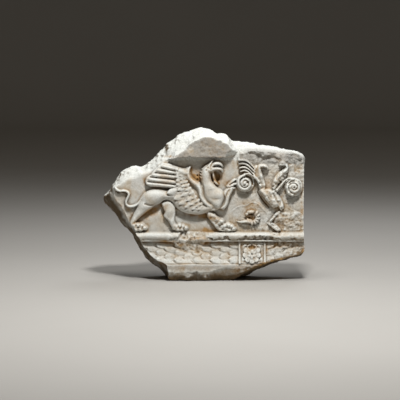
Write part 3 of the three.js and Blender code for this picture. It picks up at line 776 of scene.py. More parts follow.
def carveHead():
    dome(26, 503, 29, 21, 40, turn=10, blend=4)
    raise_([(24, 496, 37, 12), (44, 503, 36, 11), (62, 504, 34, 9.5), (77, 500, 30, 7), (83, 488, 24, 3.5)],
           blend=3)
    # brow and the long pricked ear
    raise_([(30, 510, 36, 8), (42, 522, 38, 9), (60, 527, 38, 9), (74, 523, 34, 7.5), (82, 513, 27, 4)],
           blend=2)
    raise_([(6, 492, 33, 7.5), (16, 508, 37, 7), (27, 524, 36, 5.5), (41, 541, 30, 2.5)], blend=1.5)
    groove([(20, 514, 7, 2.2), (31, 530, 6, 1.8), (39, 538, 4, 1.4)])
    groove([(24, 504, 6, 2.4), (32, 516, 7, 2.2), (42, 533, 7, 2.0)])
    groove([(40, 512, 4, 2.5), (54, 515, 7, 3.0), (68, 515, 9, 3.0), (81, 509, 8, 3)])
    groove([(34, 492, 4, 2), (50, 497, 7, 2.0), (66, 497, 7, 2.0), (77, 493, 6, 2)])
    for x, z, r in ((18, 509, 3.4), (11, 498, 3.4), (31, 503, 3.0)):
        dent(x, z, r, r, 11)
    # the open beak: a deep drilled mouth with the tongue in it
    w = windowOf(24, 92, 430, 492)
    u, v = (gx[w] - 54 - 0.15 * (gz[w] - 464)) / 20, (gz[w] - 464) / 25
    bore = smoothStep(1.1, 0.82, np.hypot(u, v))
    field[w] = field[w] * (1 - bore) - 9.0 * bore
    raise_([(40, 486, 20, 5), (43, 470, 20, 6), (47, 456, 18, 5), (52, 446, 14, 4)], blend=2)
    raise_([(48, 446, 22, 6), (56, 438, 18, 5), (64, 431, 12, 3)], blend=2)
    # saw-toothed crest down the nape
    for x, z in ((-6, 500), (-11, 488), (-13, 476), (-14, 464)):
        raise_([(x + 12, z - 3, 30, 7), (x + 3, z, 25, 5), (x - 4, z + 3, 15, 2)], blend=1.6)
    for x, z in ((-28, 471), (-28, 453)):
        dent(x, z, 3.2, 3.6, 13)
    for x, z in ((-2, 482), (0, 466), (2, 449)):
        groove([(x - 6, z + 5, 1.0, 2), (x + 4, z, 1.6, 2.4), (x + 14, z - 12, 0.8, 2)])


# scrolls, sheath, flower

scroll = {"left": (184.0, 439.0), "right": (401.0, 420.0), "outer": 35.0, "eye": 7.0, "stem": 6.0,
          "turns": 1.75}


# cuts a squared hollow, each side given as where it starts and ends
def undercut(w, left, right, low, high, rise):
    x, z = gx[w], gz[w]
    hollow = smoothStep(*left, x) * smoothStep(*right, x) * smoothStep(*low, z) * smoothStep(*high, z)
    field[w] = field[w] * (1 - hollow) + rise * hollow


def carveScrolls():
    s = scroll
    for (x, z), clockwise, turned in ((s["left"], False, 0.0), (s["right"], True, 0.0)):
        dome(x, z, 42, 42, 15, blend=1.5)
        w = windowOf(x - 44, x + 44, z - 44, z + 44)
        d = np.hypot(gx[w] - x, gz[w] - z)
        field[w] = np.where(d < 40, np.maximum(field[w], 15 - 5 * smoothStep(10, 30, d)), field[w])
        mesh = grown("wound", woundTree, Turns=s["turns"], Eye_radius=s["eye"] * mm,
                     Outer_radius=s["outer"] * mm, Stem_radius=s["stem"] * mm, Eye_taper=0.75, Turned=turned,
                     Clockwise=clockwise, Material=stone, place=(x * mm, fieldPlane - 20 * mm, z * mm))
        castOn(mesh, blend=0.6)
        groove(circle(x, z, 37, 3.5, 1.8, np.linspace(1.9, 7.2, 24)))
    x, z = s["left"]
    dome(x, z, 10, 10, 11, base=18, blend=2)
    dent(x - 3, z - 9, 6, 2.8, 12, turn=20)
    dent(x + 11, z + 3, 7, 3.2, 14, turn=20)
    groove([(x - 22, z + 14, 7, 3.5), (x - 6, z + 27, 12, 4.5), (x + 12, z + 27, 17, 6.5),
            (x + 26, z + 14, 19, 7), (x + 31, z - 6, 14, 5)], floor=3)
    x, z = s["right"]
    dome(x, z, 9, 9, 9, base=19, blend=2)
    dent(x + 2, z, 3.4, 3.4, 18)
    groove([(x - 24, z + 18, 10, 4.5), (x - 6, z + 28, 14, 5), (x + 14, z + 26, 13, 5),
            (x + 28, z + 12, 8, 4)], floor=4)
    # stems that feed the two scrolls
    raise_([(268, 398, 18, 9), (256, 420, 24, 9), (248, 438, 26, 9), (238, 456, 26, 8), (222, 472, 26, 7),
            (202, 481, 25, 6.5), (182, 479, 24, 6)], blend=1.2)
    groove([(258, 404, 8, 2.8), (246, 424, 9, 2.8), (236, 444, 9, 2.6), (222, 462, 7, 2.4)])
    raise_([(300, 396, 16, 9), (322, 404, 20, 8), (342, 424, 23, 7.5), (360, 446, 24, 7), (380, 457, 24, 6.5),
            (401, 457, 23, 6)], blend=1.2)
    groove([(332, 408, 8, 2.8), (350, 430, 9, 2.8), (368, 450, 9, 2.6), (390, 459, 6, 2.2)])
    # stacked leaf lobes above the left scroll
    lobeRadii = (3.5, 5.4, 5.8, 5.6, 6)
    for lobe, rise in (([(157, 540), (174, 541), (194, 534), (210, 520), (226, 500)], 22),
                       ([(158, 524), (174, 526), (193, 520), (210, 505), (226, 488)], 24),
                       ([(160, 506), (176, 510), (194, 505), (211, 491), (226, 474)], 25),
                       ([(164, 490), (180, 496), (198, 490), (214, 477), (228, 462)], 25)):
        raise_([(x, z, rise - (3 if i == 0 else 0), lobeRadii[i]) for i, (x, z) in enumerate(lobe)],
               blend=0.6)
    for cut in ([(160, 532), (182, 534), (202, 523), (222, 502)],
                [(162, 515), (182, 518), (202, 506), (221, 488)],
                [(164, 498), (184, 502), (202, 493), (218, 476)]):
        groove([(p[0], p[1], 16, 3.0) for p in cut], floor=3)
    for x, z in ((150, 540), (151, 522), (153, 504), (158, 487)):  # deep drilling along their tips
        dent(x, z, 4, 9, 7, turn=-8)
    pad([(224, 512), (238, 518), (246, 500), (256, 478), (268, 452), (276, 428), (270, 404), (256, 396),
         (246, 414), (240, 440), (232, 464), (222, 490)], 17, 8, blend=2)
    # broken leaf hooks, each hollow underneath
    raise_([(262, 440, 18, 11), (254, 466, 19, 11), (247, 492, 21, 11), (248, 512, 23, 9), (262, 517, 25, 9),
            (278, 512, 23, 7), (285, 502, 16, 5)], blend=2)
    undercut(windowOf(252, 284, 484, 508), (254, 259), (284, 278), (486, 496), (508, 503), 1)
    pad([(304, 420), (312, 440), (318, 462), (334, 484), (352, 498), (370, 500), (376, 486), (366, 466),
         (352, 450), (336, 436), (324, 418), (312, 408)], 18, 9, blend=2)
    raise_([(312, 424, 18, 10), (322, 450, 22, 13), (338, 472, 24, 13), (356, 488, 23, 12), (370, 503, 21, 8),
            (368, 520, 19, 7)], blend=2)
    pad([(334, 516), (338, 533), (350, 539), (364, 532), (368, 518), (352, 513)], 22, 7, blend=2)
    undercut(windowOf(326, 362, 498, 520), (328, 334), (362, 356), (499, 505), (519, 514), -2)
    for x, z, wide, high in ((249, 437, 5, 5), (258, 416, 6, 4), (371, 480, 4, 5), (357, 466, 4, 5),
                             (340, 446, 5, 4), (333, 434, 5, 5), (308, 424, 5, 4), (320, 402, 5, 6),
                             (312, 376, 4, 5)):
        dent(x, z, wide, high, 15)
    # the sheath that both stems spring from, and a worn lobe beside it
    pad([(246, 404), (258, 412), (276, 414), (296, 412), (308, 400), (314, 384), (324, 364), (336, 346),
         (334, 334), (320, 328), (306, 330), (294, 344), (278, 364), (260, 386)], 22, 10, blend=1.5)
    raise_([(262, 402, 22, 12), (280, 378, 24, 13), (298, 354, 23, 11), (314, 334, 18, 8)], blend=3)
    raise_([(290, 402, 20, 12), (306, 374, 21, 11), (322, 346, 17, 8)], blend=3)
    raise_([(318, 392, 12, 10), (334, 366, 16, 11), (346, 344, 17, 10), (352, 328, 14, 7)], blend=3)
    raise_([(322, 352, 12, 7), (338, 338, 15, 8), (346, 322, 12, 6)], blend=3)
    for ax, az, bx, bz in ((274, 400, 308, 342), (302, 398, 330, 350)):
        groove([(ax, az, 1.4, 3), ((ax + bx) / 2, (az + bz) / 2, 2.0, 3.2), (bx, bz, 1.0, 3)])
    w = windowOf(240, 384, 310, 545)
    bumps = smoothStep(6, 14, field[w]) * smoothStep(240, 262, gx[w])
    field[w] += bumps * 5.5 * uneven(17, 172, 5, 0.62, w)
    groove([(240, 398, 6, 3), (252, 376, 8, 4), (270, 352, 9, 4.5), (290, 330, 7, 4)])


def carveFlower():
    # a curled bloom seen from the side: hood, drilled throat and a fan of petals
    dome(209, 309, 17, 8.5, 21, turn=4, blend=1.2)
    dome(193, 299, 8, 7, 16, blend=1.5)
    for x, z, turn in ((236, 304, 60), (243, 293, 30), (244, 280, 0), (239, 268, -30), (229, 260, -60),
                       (215, 257, -90)):
        c, s = math.cos(math.radians(turn)), math.sin(math.radians(turn))
        raise_([(x - 11 * c, z - 11 * s, 13, 5), (x, z, 19, 6), (x + 4 * c, z + 4 * s, 14, 5)], blend=0.8)
    raise_([(206, 264, 17, 7), (190, 267, 17, 7.5), (172, 264, 13, 6), (158, 264, 9, 4), (146, 267, 5, 2)],
           blend=1.2)
    raise_([(196, 277, 13, 6), (210, 270, 14, 6)], blend=1.5)
    dent(202, 281, 4.2, 4.2, 16)
    dent(210, 297, 12, 4.2, 13, turn=-6)
    dent(186, 279, 7, 4, 6)
    groove([(172, 256, 4, 3), (196, 254, 6, 3.5), (222, 248, 6, 3.5), (246, 256, 5, 3)])
    ridge([(128, 314, 1.8, 3), (152, 331, 2.4, 3), (188, 337, 2.6, 3), (206, 348, 2.8, 3), (224, 351, 2.8, 3),
           (242, 345, 2.8, 3), (259, 328, 2.6, 3), (276, 311, 2.4, 3), (288, 296, 2, 3)])
    raise_([(326, 301, 8, 6), (314, 288, 10, 7), (300, 271, 10, 7), (291, 260, 8, 6)], blend=3)
    raise_([(290, 258, 8, 7), (304, 250, 13, 11), (322, 237, 16, 12), (338, 224, 14, 8)], blend=3)
    lumpy(windowOf(276, 352, 214, 312), 4, 10, 14, 175, 4, 0.6, depth=6.5)
    groove([(320, 306, 5, 2.4), (302, 284, 7, 2.6), (286, 264, 6, 2.6)])
    groove([(286, 250, 5, 2.6), (304, 236, 7, 3), (324, 222, 7, 3)])
    groove([(296, 258, 5, 2), (314, 246, 6, 2), (332, 234, 4, 2)])
    dent(339, 222, 5, 4, 12)


# where the ground is cut lower: place, spread across and up, share of the depth, turn
sunkGround = [(-226, 318, 66, 20, 1.0, 30), (-70, 296, 70, 17, 0.9, -6), (10, 288, 50, 17, 1.0, 4),
              (-176, 318, 24, 26, 0.8, 0), (180, 392, 36, 15, 0.8, 0), (398, 374, 36, 15, 0.9, 0),
              (258, 366, 40, 15, 0.9, -50), (-60, 440, 30, 30, 0.3, 0)]


standing = {"lift": 9, "sunk": 10}  # how much higher the figures and how much lower the ground is set


def setOff():  # every figure stands off the ground with a steep edge, so that it throws a shadow
    inField = smoothStep(220, 228, gz) * smoothStep(560, 548, gz)
    field[:] += standing["lift"] * inField * smoothStep(3.5, 9,
                                                        field) * (1 - 0.75 * smoothStep(32, 50, field))
    field[:] -= standing["sunk"] * smoothStep(5, 0, field) * blots(sunkGround, gx, gz) * inField


def carveScar():  # where more foliage was, chiselled across
    w = windowOf(296, 462, 214, 345)
    x, z = gx[w], gz[w]
    top = np.interp(x, (300, 322, 350, 372, 400, 425, 447), (300, 312, 322, 314, 312, 316, 324))
    mask = smoothStep(0, 8, top + 5 * uneven(20, 70, w=w) - z) * smoothStep(312, 332, x + (z - 230) * 0.12)
    mask = mask * smoothStep(216, 230, z)
    strokes = grain(x * 0.22, z + 3 * grain(x, z, 0 * x, 60, 73), 0 * x, 6.5, 72)
    scar = 6 + 8 * uneven(36, 71, 5, 0.6, w) + 2.4 * strokes - 0.05 * (x - 330)
    field[w] += mask * np.maximum(-1, scar) * smoothStep(24, 10, field[w])


# losses and wear on the carved side

losses = {
    # lowest edge of what is left of the ledge and of the plinth, as (x, z)
    "ledge": [(-340, 190), (-290, 190), (-236, 187), (-190, 184), (-160, 188), (-130, 199), (-96, 209),
              (-62, 214), (-12, 212), (6, 204), (30, 193), (52, 190), (95, 199), (118, 188), (130, 185),
              (150, 190), (174, 199), (219, 204), (262, 203), (298, 201), (334, 196), (354, 186), (378, 196),
              (410, 194), (447, 190)],
    "plinth": [(-200, 44), (-166, 42), (-130, 42), (-86, 38), (-49, 42), (-34, 48), (-8, 40), (26, 42),
               (39, 47), (60, 54), (100, 60), (140, 58), (171, 57), (190, 66), (214, 60), (300, 60)],
}


def splitLedge():  # the lower half is split off along a ragged line, and a big spall runs down into the band
    edge = np.interp(gx, *zip(*losses["ledge"])) + 6.0 * uneven(26, 301, 5, 0.62) - 1.0
    below = smoothStep(-1.5, 3.5, edge - gz) * (gz > 184)
    raw = 25 + 0.5 * (gz - 186) + 4.5 * uneven(20, 302, 4, 0.6) - 9 * smoothStep(196, 210, edge)
    crust = 18 + 0.2 * (gz - 140) + 8.5 * uneven(34, 305, 5, 0.6)
    onSpall = smoothStep(-158, -126, gx) * smoothStep(64, 30, gx)
    pulled(np.minimum(field, raw + (crust + 2 - raw) * onSpall), below)
    left, right = -150 + (186 - gz) * 0.9, 12 - (186 - gz) * 0.55
    spall = smoothStep(-6, 6, gx - left + 8 * uneven(26, 303))
    spall = spall * smoothStep(-6, 6, right - gx + 8 * uneven(26, 304))
    spall = spall * smoothStep(116, 138, gz + 9 * uneven(34, 308, 2)) * (gz <= 184)
    filled = 23 + 0.38 * (gz - 184) + 0.9 * (crust - 18 - 0.2 * (gz - 140))
    pulled(np.maximum(np.minimum(field, filled + 5), filled), spall)


def nickLedge():  # its upper edge is nicked here and there, its face worn uneven, its middle bitten away
    chipped = np.clip(layered(gx, 0.4 * gz, 0 * gx, 30, 306, 3) - 0.2, 0, 1)
    field[:] -= 14 * (chipped * smoothStep(200, 214, gz) * (gz < 218))
    field[:] -= smoothStep(184, 190, gz) * smoothStep(219, 212, gz) * (2 + 2.4 * uneven(42, 320, 4, 0.6))
    bite = smoothStep(-124, -96, gx + 12 * uneven(30, 321)) * smoothStep(28, -4, gx)
    slope = 9 + 0.8 * (214 - gz) + 8 * uneven(30, 322, 5, 0.6)
    pulled(np.minimum(field, slope), bite * smoothStep(184, 190, gz) * smoothStep(224, 220, gz))


def breakPlinth():  # its front is broken back to the bed: lumpy on the left, one smooth scoop on the right
    whole = np.interp(gx, *zip(*losses["plinth"]))
    below = np.clip(whole + 4.5 * uneven(19, 309, 4, 0.6) - gz, 0, 80)
    chips = uneven(27, 310, 5, 0.52)
    lumps = 3.0 * smoothStep(0, 3, below) + 0.62 * below + 6.0 * chips * smoothStep(0, 8, below)
    whole = np.clip(whole - gz, 0, 80)
    scooped = 24 * (1 - np.exp(-whole / 13)) + 0.4 * whole + 1.8 * uneven(30, 311, 4)
    side = smoothStep(20, 50, gx) * smoothStep(168, 140, gx)
    field[:] = np.where(below > 0, field - (lumps * (1 - side) + scooped * side), field)


def rubEdges():  # raised edges wear, hollows stay
    soft = blurred(field, 1.5)
    worn = smoothStep(-0.25, 0.75, uneven(60, 21))
    lower = smoothStep(230, 170, gz) * smoothStep(60, 90, np.abs(gx - 214))
    right = smoothStep(230, 300, gx) * smoothStep(440, 520, gz)
    worn = np.clip(0.15 + 0.4 * worn - 0.1 * lower + 0.4 * right, 0, 0.85)
    pulled(soft, np.where(field > soft, worn, 0.15 * worn))


def onHaunch(wide, high, x=-225.0):  # 1 on the polished haunch, fading away from it
    return np.exp(-((gx - x) / wide) ** 2 - ((gz - 375) / high) ** 2)


def bruise():  # bruised patches, tooling on the ground and small pits
    rough = 0.24 + 0.55 * smoothStep(-0.1, 0.7, uneven(85, 5)) + 0.7 * smoothStep(130, 280, gx)
    rough = rough * (1 - 0.75 * onHaunch(60, 42))
    field[:] += rough * 1.7 * uneven(16, 41, 4, 0.52)
    combed = grain(gx * 0.16, gz + 4 * grain(gx, gz, 0 * gx, 90, 9), 0 * gx, 4.2, 12)
    field[:] += 0.6 * combed * smoothStep(20, 260, gx) * (np.abs(field) < 4)
    field[:] -= 5.0 * np.clip(uneven(6, 88, 2) - 0.7, 0, 1) * smoothStep(0.2, 0.9, rough)


def tearTop():  # the scar below the missing crown: an overhanging lip, and hollows under it
    lip = np.interp(gx, (128, 150, 166, 200, 250, 262, 285, 320, 348, 400, 430, 447),
                    (552, 556, 570, 578, 574, 562, 562, 552, 542, 540, 544, 538))
    over = smoothStep(-7, 3, gz - lip + 6 * uneven(30, 57)) * smoothStep(150, 172, gx)
    field[:] += over * (12 + 8 * uneven(40, 58, 5, 0.6))
    torn = smoothStep(488, 545, gz) * smoothStep(168, 210, gx) * (1 - over)
    field[:] += torn * (6.0 * uneven(30, 59, 5, 0.6) + 1)


def coarsen():  # a coarse sugary grain, strongest to the right
    coarse = 0.3 + 0.7 * smoothStep(90, 250, gx) + 0.4 * smoothStep(230, 190, gz)
    coarse = coarse * (1 - 0.8 * onHaunch(62, 44, x=-235.0))
    field[:] += coarse * (0.7 * grain(gx, gz, 0 * gx, 9, 330) + 0.45 * grain(gx, gz, 0 * gx, 5.5, 331))


def carveField():
    runMouldings()
    carveBand()
    carveClasp()
    carveBody()
    carveTail()
    carveWing()
    carveHead()
    carvePaws()
    carveScrolls()
    carveFlower()
    setOff()
    carveScar()
    # the standing foreleg is worn to a chain of lumps
    lumpy(windowOf(34, 150, 222, 300), 10, 18, 17, 178, 4, 0.6, depth=4)
    print("carving laid out")


carveField()
splitLedge()
nickLedge()
breakPlinth()
rubEdges()
bruise()
tearTop()
coarsen()
print("losses and wear cut")

# block

# stations round the broken edge, clockwise from the left tip: the place at each of the block's levels,
# and how rough the break is there
breakEdge = [
    ((-392, 386), (-402, 386), (-432, 378), (-455, 356), 1),
    ((-394, 408), (-402, 412), (-418, 402), (-440, 372), 1),
    ((-380, 424), (-387, 428), (-404, 430), (-417, 398), 1),
    ((-354, 434), (-360, 443), (-387, 452), (-398, 420), 1),
    ((-324, 444), (-330, 454), (-368, 478), (-380, 455), 1),
    ((-296, 454), (-302, 464), (-344, 498), (-352, 478), 1),
    ((-266, 460), (-272, 472), (-312, 511), (-318, 492), 1),
    ((-242, 470), (-248, 480), (-285, 507), (-290, 490), 1),
    ((-207, 489), (-216, 500), (-244, 528), (-250, 508), 1),
    ((-178, 514), (-188, 525), (-216, 552), (-222, 534), 1),
    ((-155, 540), (-163, 548), (-190, 582), (-196, 563), 1),
    ((-124, 566), (-131, 578), (-158, 616), (-162, 596), 1),
    ((-89, 588), (-97, 602), (-116, 644), (-120, 622), 1),
    ((-50, 617), (-56, 634), (-70, 664), (-72, 646), 1),
    ((-12, 637), (-16, 658), (-18, 682), (-18, 664), 1),
    ((30, 640), (28, 658), (24, 674), (22, 660), 1),
    ((64, 633), (62, 646), (58, 654), (54, 646), 1),
    ((94, 619), (98, 638), (96, 649), (92, 640), 1),
    ((108, 606), (112, 628), (108, 634), (104, 628), 1),
    ((126, 580), (130, 604), (124, 622), (118, 614), 1),
    ((148, 560), (150, 584), (150, 618), (150, 606), 1),
    ((172, 566), (174, 568), (178, 615), (178, 602), 1),
    ((204, 580), (204, 580), (212, 611), (212, 598), 1),
    ((250, 582), (250, 582), (250, 602), (250, 590), 1),
    ((298, 576), (298, 576), (298, 598), (298, 587), 1),
    ((345, 570), (345, 570), (348, 588), (348, 578), 1),
    ((392, 573), (392, 573), (396, 580), (396, 570), 1),
    ((424, 562), (424, 562), (424, 568), (424, 558), 1),
    ((447, 540), (447, 541), (447, 546), (447, 540), 0.9),
    ((447, 470), (447, 470), (447, 470), (447, 470), 0.02),
    ((447, 330), (447, 330), (447, 330), (447, 330), 0.02),
    ((447, 200), (447, 200), (447, 200), (447, 200), 0.02),
    ((447, 134), (447, 129), (447, 118), (447, 112), 0.3),
    ((387, 112), (387, 106), (387, 93), (387, 86), 1),
    ((331, 99), (331, 92), (331, 77), (331, 69), 1),
    ((275, 84), (275, 76), (275, 57), (275, 48), 1),
    ((236, 72), (236, 62), (236, 40), (236, 32), 1),
    ((200, 54), (200, 42), (200, 20), (200, 12), 1),
    ((164, 34), (164, 24), (164, 6), (164, 0), 0.8),
    ((126, 6), (126, 2), (126, -2), (126, -6), 0.6),
    ((80, -4), (82, -7), (84, -8), (84, -8), 0.4),
    ((20, -8), (20, -8), (20, -8), (20, -8), 0.3),
    ((-40, -8), (-40, -8), (-40, -8), (-40, -8), 0.3),
    ((-96, -5), (-96, -6), (-98, -7), (-98, -7), 0.4),
    ((-134, 2), (-136, 1), (-138, -2), (-138, -6), 0.7),
    ((-158, 16), (-160, 14), (-164, 10), (-166, 2), 1),
    ((-161, 44), (-164, 40), (-178, 32), (-190, 28), 1),
    ((-166, 74), (-177, 66), (-204, 56), (-222, 52), 1),
    ((-198, 93), (-210, 91), (-240, 82), (-258, 78), 1),
    ((-229, 113), (-238, 115), (-262, 112), (-280, 112), 1),
    ((-250, 135), (-258, 139), (-284, 140), (-301, 146), 1),
    ((-271, 166), (-278, 168), (-300, 170), (-316, 178), 1),
    ((-295, 214), (-302, 211), (-320, 208), (-332, 205), 1),
    ((-308, 243), (-317, 242), (-348, 236), (-360, 230), 1),
    ((-330, 273), (-338, 275), (-371, 266), (-386, 258), 1),
    ((-347, 308), (-356, 311), (-394, 302), (-412, 294), 1),
    ((-366, 340), (-375, 342), (-414, 334), (-438, 322), 1),
    ((-382, 364), (-391, 366), (-428, 358), (-453, 338), 1),
]
block = {"levels": [50.0, 0.0, -60.0, -175.0], "back": -175, "perStation": 14, "depthSteps": 58, "chip": 8.0,
         "voxel": 1.9, "faces": 192000, "seed": 300, "middle": (0, 330)}


def closedSkin(rows, frontPoint, backPoint):  # rows of a closed loop, capped to two middle points
    n = len(rows[0])
    verts = [tuple(p) for row in rows for p in row] + [tuple(frontPoint), tuple(backPoint)]
    faces = []
    for k in range(len(rows) - 1):
        for i in range(n):
            j = (i + 1) % n
            faces.append((k * n + i, k * n + j, (k + 1) * n + j, (k + 1) * n + i))
    front, back, last = len(verts) - 2, len(verts) - 1, (len(rows) - 1) * n
    for i in range(n):
        j = (i + 1) % n
        faces.append((front, j, i))
        faces.append((back, last + i, last + j))
    return verts, faces


def solidObject(name, verts, faces):
    mesh = bpy.data.meshes.new(name)
    mesh.from_pydata([(x * mm, fieldPlane - h * mm, z * mm) for x, z, h in verts], [], faces)
    made = bmesh.new()
    made.from_mesh(mesh)
    bmesh.ops.recalc_face_normals(made, faces=made.faces)
    made.to_mesh(mesh)
    made.free()
    return placed(name, mesh)


def breakShell():  # the whole broken outline as one rough skin, open to nothing
    levels = block["levels"]
    loops = [through([s[k] for s in breakEdge], block["perStation"], closed=True) for k in range(4)]
    rough = through([(s[4], 0) for s in breakEdge], block["perStation"], closed=True)[:, 0]
    rises = np.concatenate([np.linspace(62, 50, 4), np.linspace(47, block["back"], block["depthSteps"]),
                            [-180, -186]])
    rows = []
    for h in rises:
        if h >= levels[0]:
            p = loops[0]
        elif h <= levels[-1]:
            p = loops[-1]
        else:
            k = next(i for i in range(3) if levels[i] >= h >= levels[i + 1])
            t = (levels[k] - h) / (levels[k] - levels[k + 1])
            p = loops[k] * (1 - t) + loops[k + 1] * t
        rows.append(np.column_stack([p, np.full(len(p), h)]))
    body = np.array(rows)
    along = np.roll(body, -1, axis=1) - np.roll(body, 1, axis=1)
    across = np.gradient(body, axis=0)
    normal = np.cross(along, across)
    normal /= np.linalg.norm(normal, axis=2)[..., None] + 1e-9
    x, z, h = body[..., 0], body[..., 1], body[..., 2]
    lumps = layered(x, z, h, 62, block["seed"], 3, 0.55)
    facets = np.abs(layered(x, z, h, 40, block["seed"] + 9, 2, 0.5))
    fine = layered(x, z, h, 13, block["seed"] + 20, 3)
    push = (0.85 * lumps + 1.5 * (0.45 - facets) + 0.15 * fine) * block["chip"]
    push = push * np.clip(rough, 0, 1)[None, :]
    body = body + normal * (push * 0.55)[..., None]
    return closedSkin(body, (*block["middle"], 66), (*block["middle"], -190))


def carvedSlab():  # the carved front with straight sides and a flat back
    ny, nx = field.shape
    verts = np.column_stack([gx.ravel(), gz.ravel(), field.ravel()])
    index = np.arange(nx * ny).reshape(ny, nx)
    faces = np.stack([index[:-1, :-1], index[:-1, 1:], index[1:, 1:], index[1:, :-1]], axis=-1).reshape(-1, 4)
    rim = np.concatenate([index[0, :-1], index[:-1, -1], index[-1, :0:-1], index[:0:-1, 0]])
    n = len(rim)
    back = verts[rim].copy()
    back[:, 2] = block["back"]
    start = len(verts)
    verts = np.vstack([verts, back, [[*block["middle"], block["back"]]]])
    ring = np.arange(n)
    nextRing = (ring + 1) % n
    sides = np.column_stack([rim[nextRing], rim, start + ring, start + nextRing])
    cap = [(start + int(b), start + int(a), start + n) for a, b in zip(ring, nextRing)]
    return [tuple(v) for v in verts], [tuple(f) for f in faces.tolist() + sides.tolist()] + cap


crown = {"soffit": 554.5, "face": 47.5, "end": 176}


def crownStump():  # what is left of the projecting crown, squared off until the break is cut
    soffit = crown["soffit"] + 1.3 * layered(gx, 0 * gx, 0 * gx, 16, 403, 3)
    soffit = soffit + 6 * np.exp(-((gx + 63) / 9) ** 2)
    soffit = soffit - 9 * smoothStep(-95, -165, gx)
    right = np.interp(gz, (545, 556, 567, 578, 589, 600, 614, 640), (90, 93, 100, 113, 122, 121, 114, 112))
    past = gx - right - 1.8 * uneven(18, 401)
    face = crown["face"] + 1.7 * uneven(26, 402, 5, 0.66)
    torn = face - 1.25 * past + 2.6 * uneven(24, 404, 4)
    shape = np.where(past < 0, face, np.minimum(face, torn))
    return np.where((gz > soffit) & (gx < crown["end"]), np.maximum(shape, field), field)


def applied(piece, kind, **settings):  # a modifier's result becomes the piece's own mesh
    modifier = piece.modifiers.new(kind.lower(), kind)
    for key, value in settings.items():
        setattr(modifier, key, value)
    mesh = bpy.data.meshes.new_from_object(piece.evaluated_get(bpy.context.evaluated_depsgraph_get()))
    piece.modifiers.clear()
    old = piece.data
    piece.data = mesh
    bpy.data.meshes.remove(old)


def verticesOf(mesh):
    co = np.empty(len(mesh.vertices) * 3, np.float32)
    mesh.vertices.foreach_get("co", co)
    return co.reshape(-1, 3).astype(float)


def normalsOf(mesh):
    normals = np.empty(len(mesh.vertices) * 3, np.float32)
    mesh.vertex_normals.foreach_get("vector", normals)
    return normals.reshape(-1, 3)


def sampled(a, x, z):  # a grid's value at any place, bilinear
    across = np.clip((x - grid["left"]) / grid["cell"], 0, a.shape[1] - 1.001)
    up = np.clip((z - grid["low"]) / grid["cell"], 0, a.shape[0] - 1.001)
    i, j = across.astype(int), up.astype(int)
    s, t = across - i, up - j
    return (a[j, i] * (1 - s) + a[j, i + 1] * s) * (1 - t) + (a[j + 1, i] * (1 - s) + a[j + 1, i + 1] * s) * t


def placesOf(co):  # x, z and rise of vertices, in mm
    return co[:, 0] / mm, co[:, 2] / mm, (fieldPlane - co[:, 1]) / mm


field = crownStump()
fragment = solidObject("friezeFragment", *carvedSlab())
print("slab", len(fragment.data.polygons))
shell = solidObject("breakShell", *breakShell())
applied(fragment, "BOOLEAN", object=shell, operation="INTERSECT", solver="MANIFOLD")
bpy.data.objects.remove(shell)
print("broken outline cut", len(fragment.data.polygons))


def roughened():  # fine chatter over the broken faces and the back, none on the carving
    mesh = fragment.data
    co, normals = verticesOf(mesh), normalsOf(mesh)
    x, z, rise = placesOf(co)
    carved = smoothStep(6, 1.5, np.abs(rise - sampled(field, x, z)))
    joint = smoothStep(440, 445, x)
    base = smoothStep(12, 3, z)
    amount = (1 - carved) * (1 - 0.7 * joint) * (1 - base)
    lower = smoothStep(330, 200, z)
    push = (1.0 + 0.9 * lower) * layered(x, rise, z, 14, 501, 4, 0.6) + 0.35 * grain(x, rise, z, 4, 511)
    along, across = 0.8 * (x + rise) + 0.6 * z, 0.8 * z - 0.6 * (x + rise)
    dressed = 2.2 * layered(x, rise, z, 90, 520, 3) + 1.5 * grain(0.22 * along, across, 0 * x, 9, 521)
    push = np.where(rise < -172, 0.35 * push + dressed - 2.2, push)
    push = push + joint * (dressed - 0.8)
    co += normals * (amount * push * mm)[:, None]
    co[:, 2] = np.maximum(co[:, 2], 0)
    mesh.vertices.foreach_set("co", co.astype(np.float32).ravel())
    mesh.update()


applied(fragment, "REMESH", mode="VOXEL", voxel_size=block["voxel"] * mm, adaptivity=0.0)
print("remeshed", len(fragment.data.polygons))
roughened()


def hollows(mesh, rounds):  # how far the stone nearby stands proud of each point, in mm, at two sizes
    count = len(mesh.vertices)
    edges = np.empty(len(mesh.edges) * 2, np.int32)
    mesh.edges.foreach_get("vertices", edges)
    a, b = edges[0::2], edges[1::2]
    near = np.bincount(a, minlength=count) + np.bincount(b, minlength=count) + 1e-9
    start, normals = verticesOf(mesh), normalsOf(mesh)
    smooth, found = start.copy(), []
    for n in range(max(rounds)):
        mean = np.stack([(np.bincount(a, smooth[b, k], count) + np.bincount(b, smooth[a, k], count)) / near
                         for k in range(3)], axis=1)
        smooth = 0.4 * smooth + 0.6 * mean
        if n + 1 in rounds:
            found.append(np.einsum("ij,ij->i", smooth - start, normals) / mm)
    return found


def stored(mesh, name, values):
    made = mesh.attributes.new(name, "FLOAT", "POINT")
    made.data.foreach_set("value", np.asarray(values, np.float32))


fineHollow, broadHollow = hollows(fragment.data, (4, 60))
print("hollows measured")
nearest = KDTree(len(fineHollow))
for i, point in enumerate(verticesOf(fragment.data)):
    nearest.insert(point, i)
nearest.balance()
applied(fragment, "TRIANGULATE")
applied(fragment, "DECIMATE", ratio=block["faces"] / len(fragment.data.polygons))
thinned = bmesh.new()
thinned.from_mesh(fragment.data)
bmesh.ops.dissolve_degenerate(thinned, dist=0.00001, edges=thinned.edges)  # slivers that the thinning leaves
thinned.to_mesh(fragment.data)
thinned.free()
print("thinned", len(fragment.data.polygons))

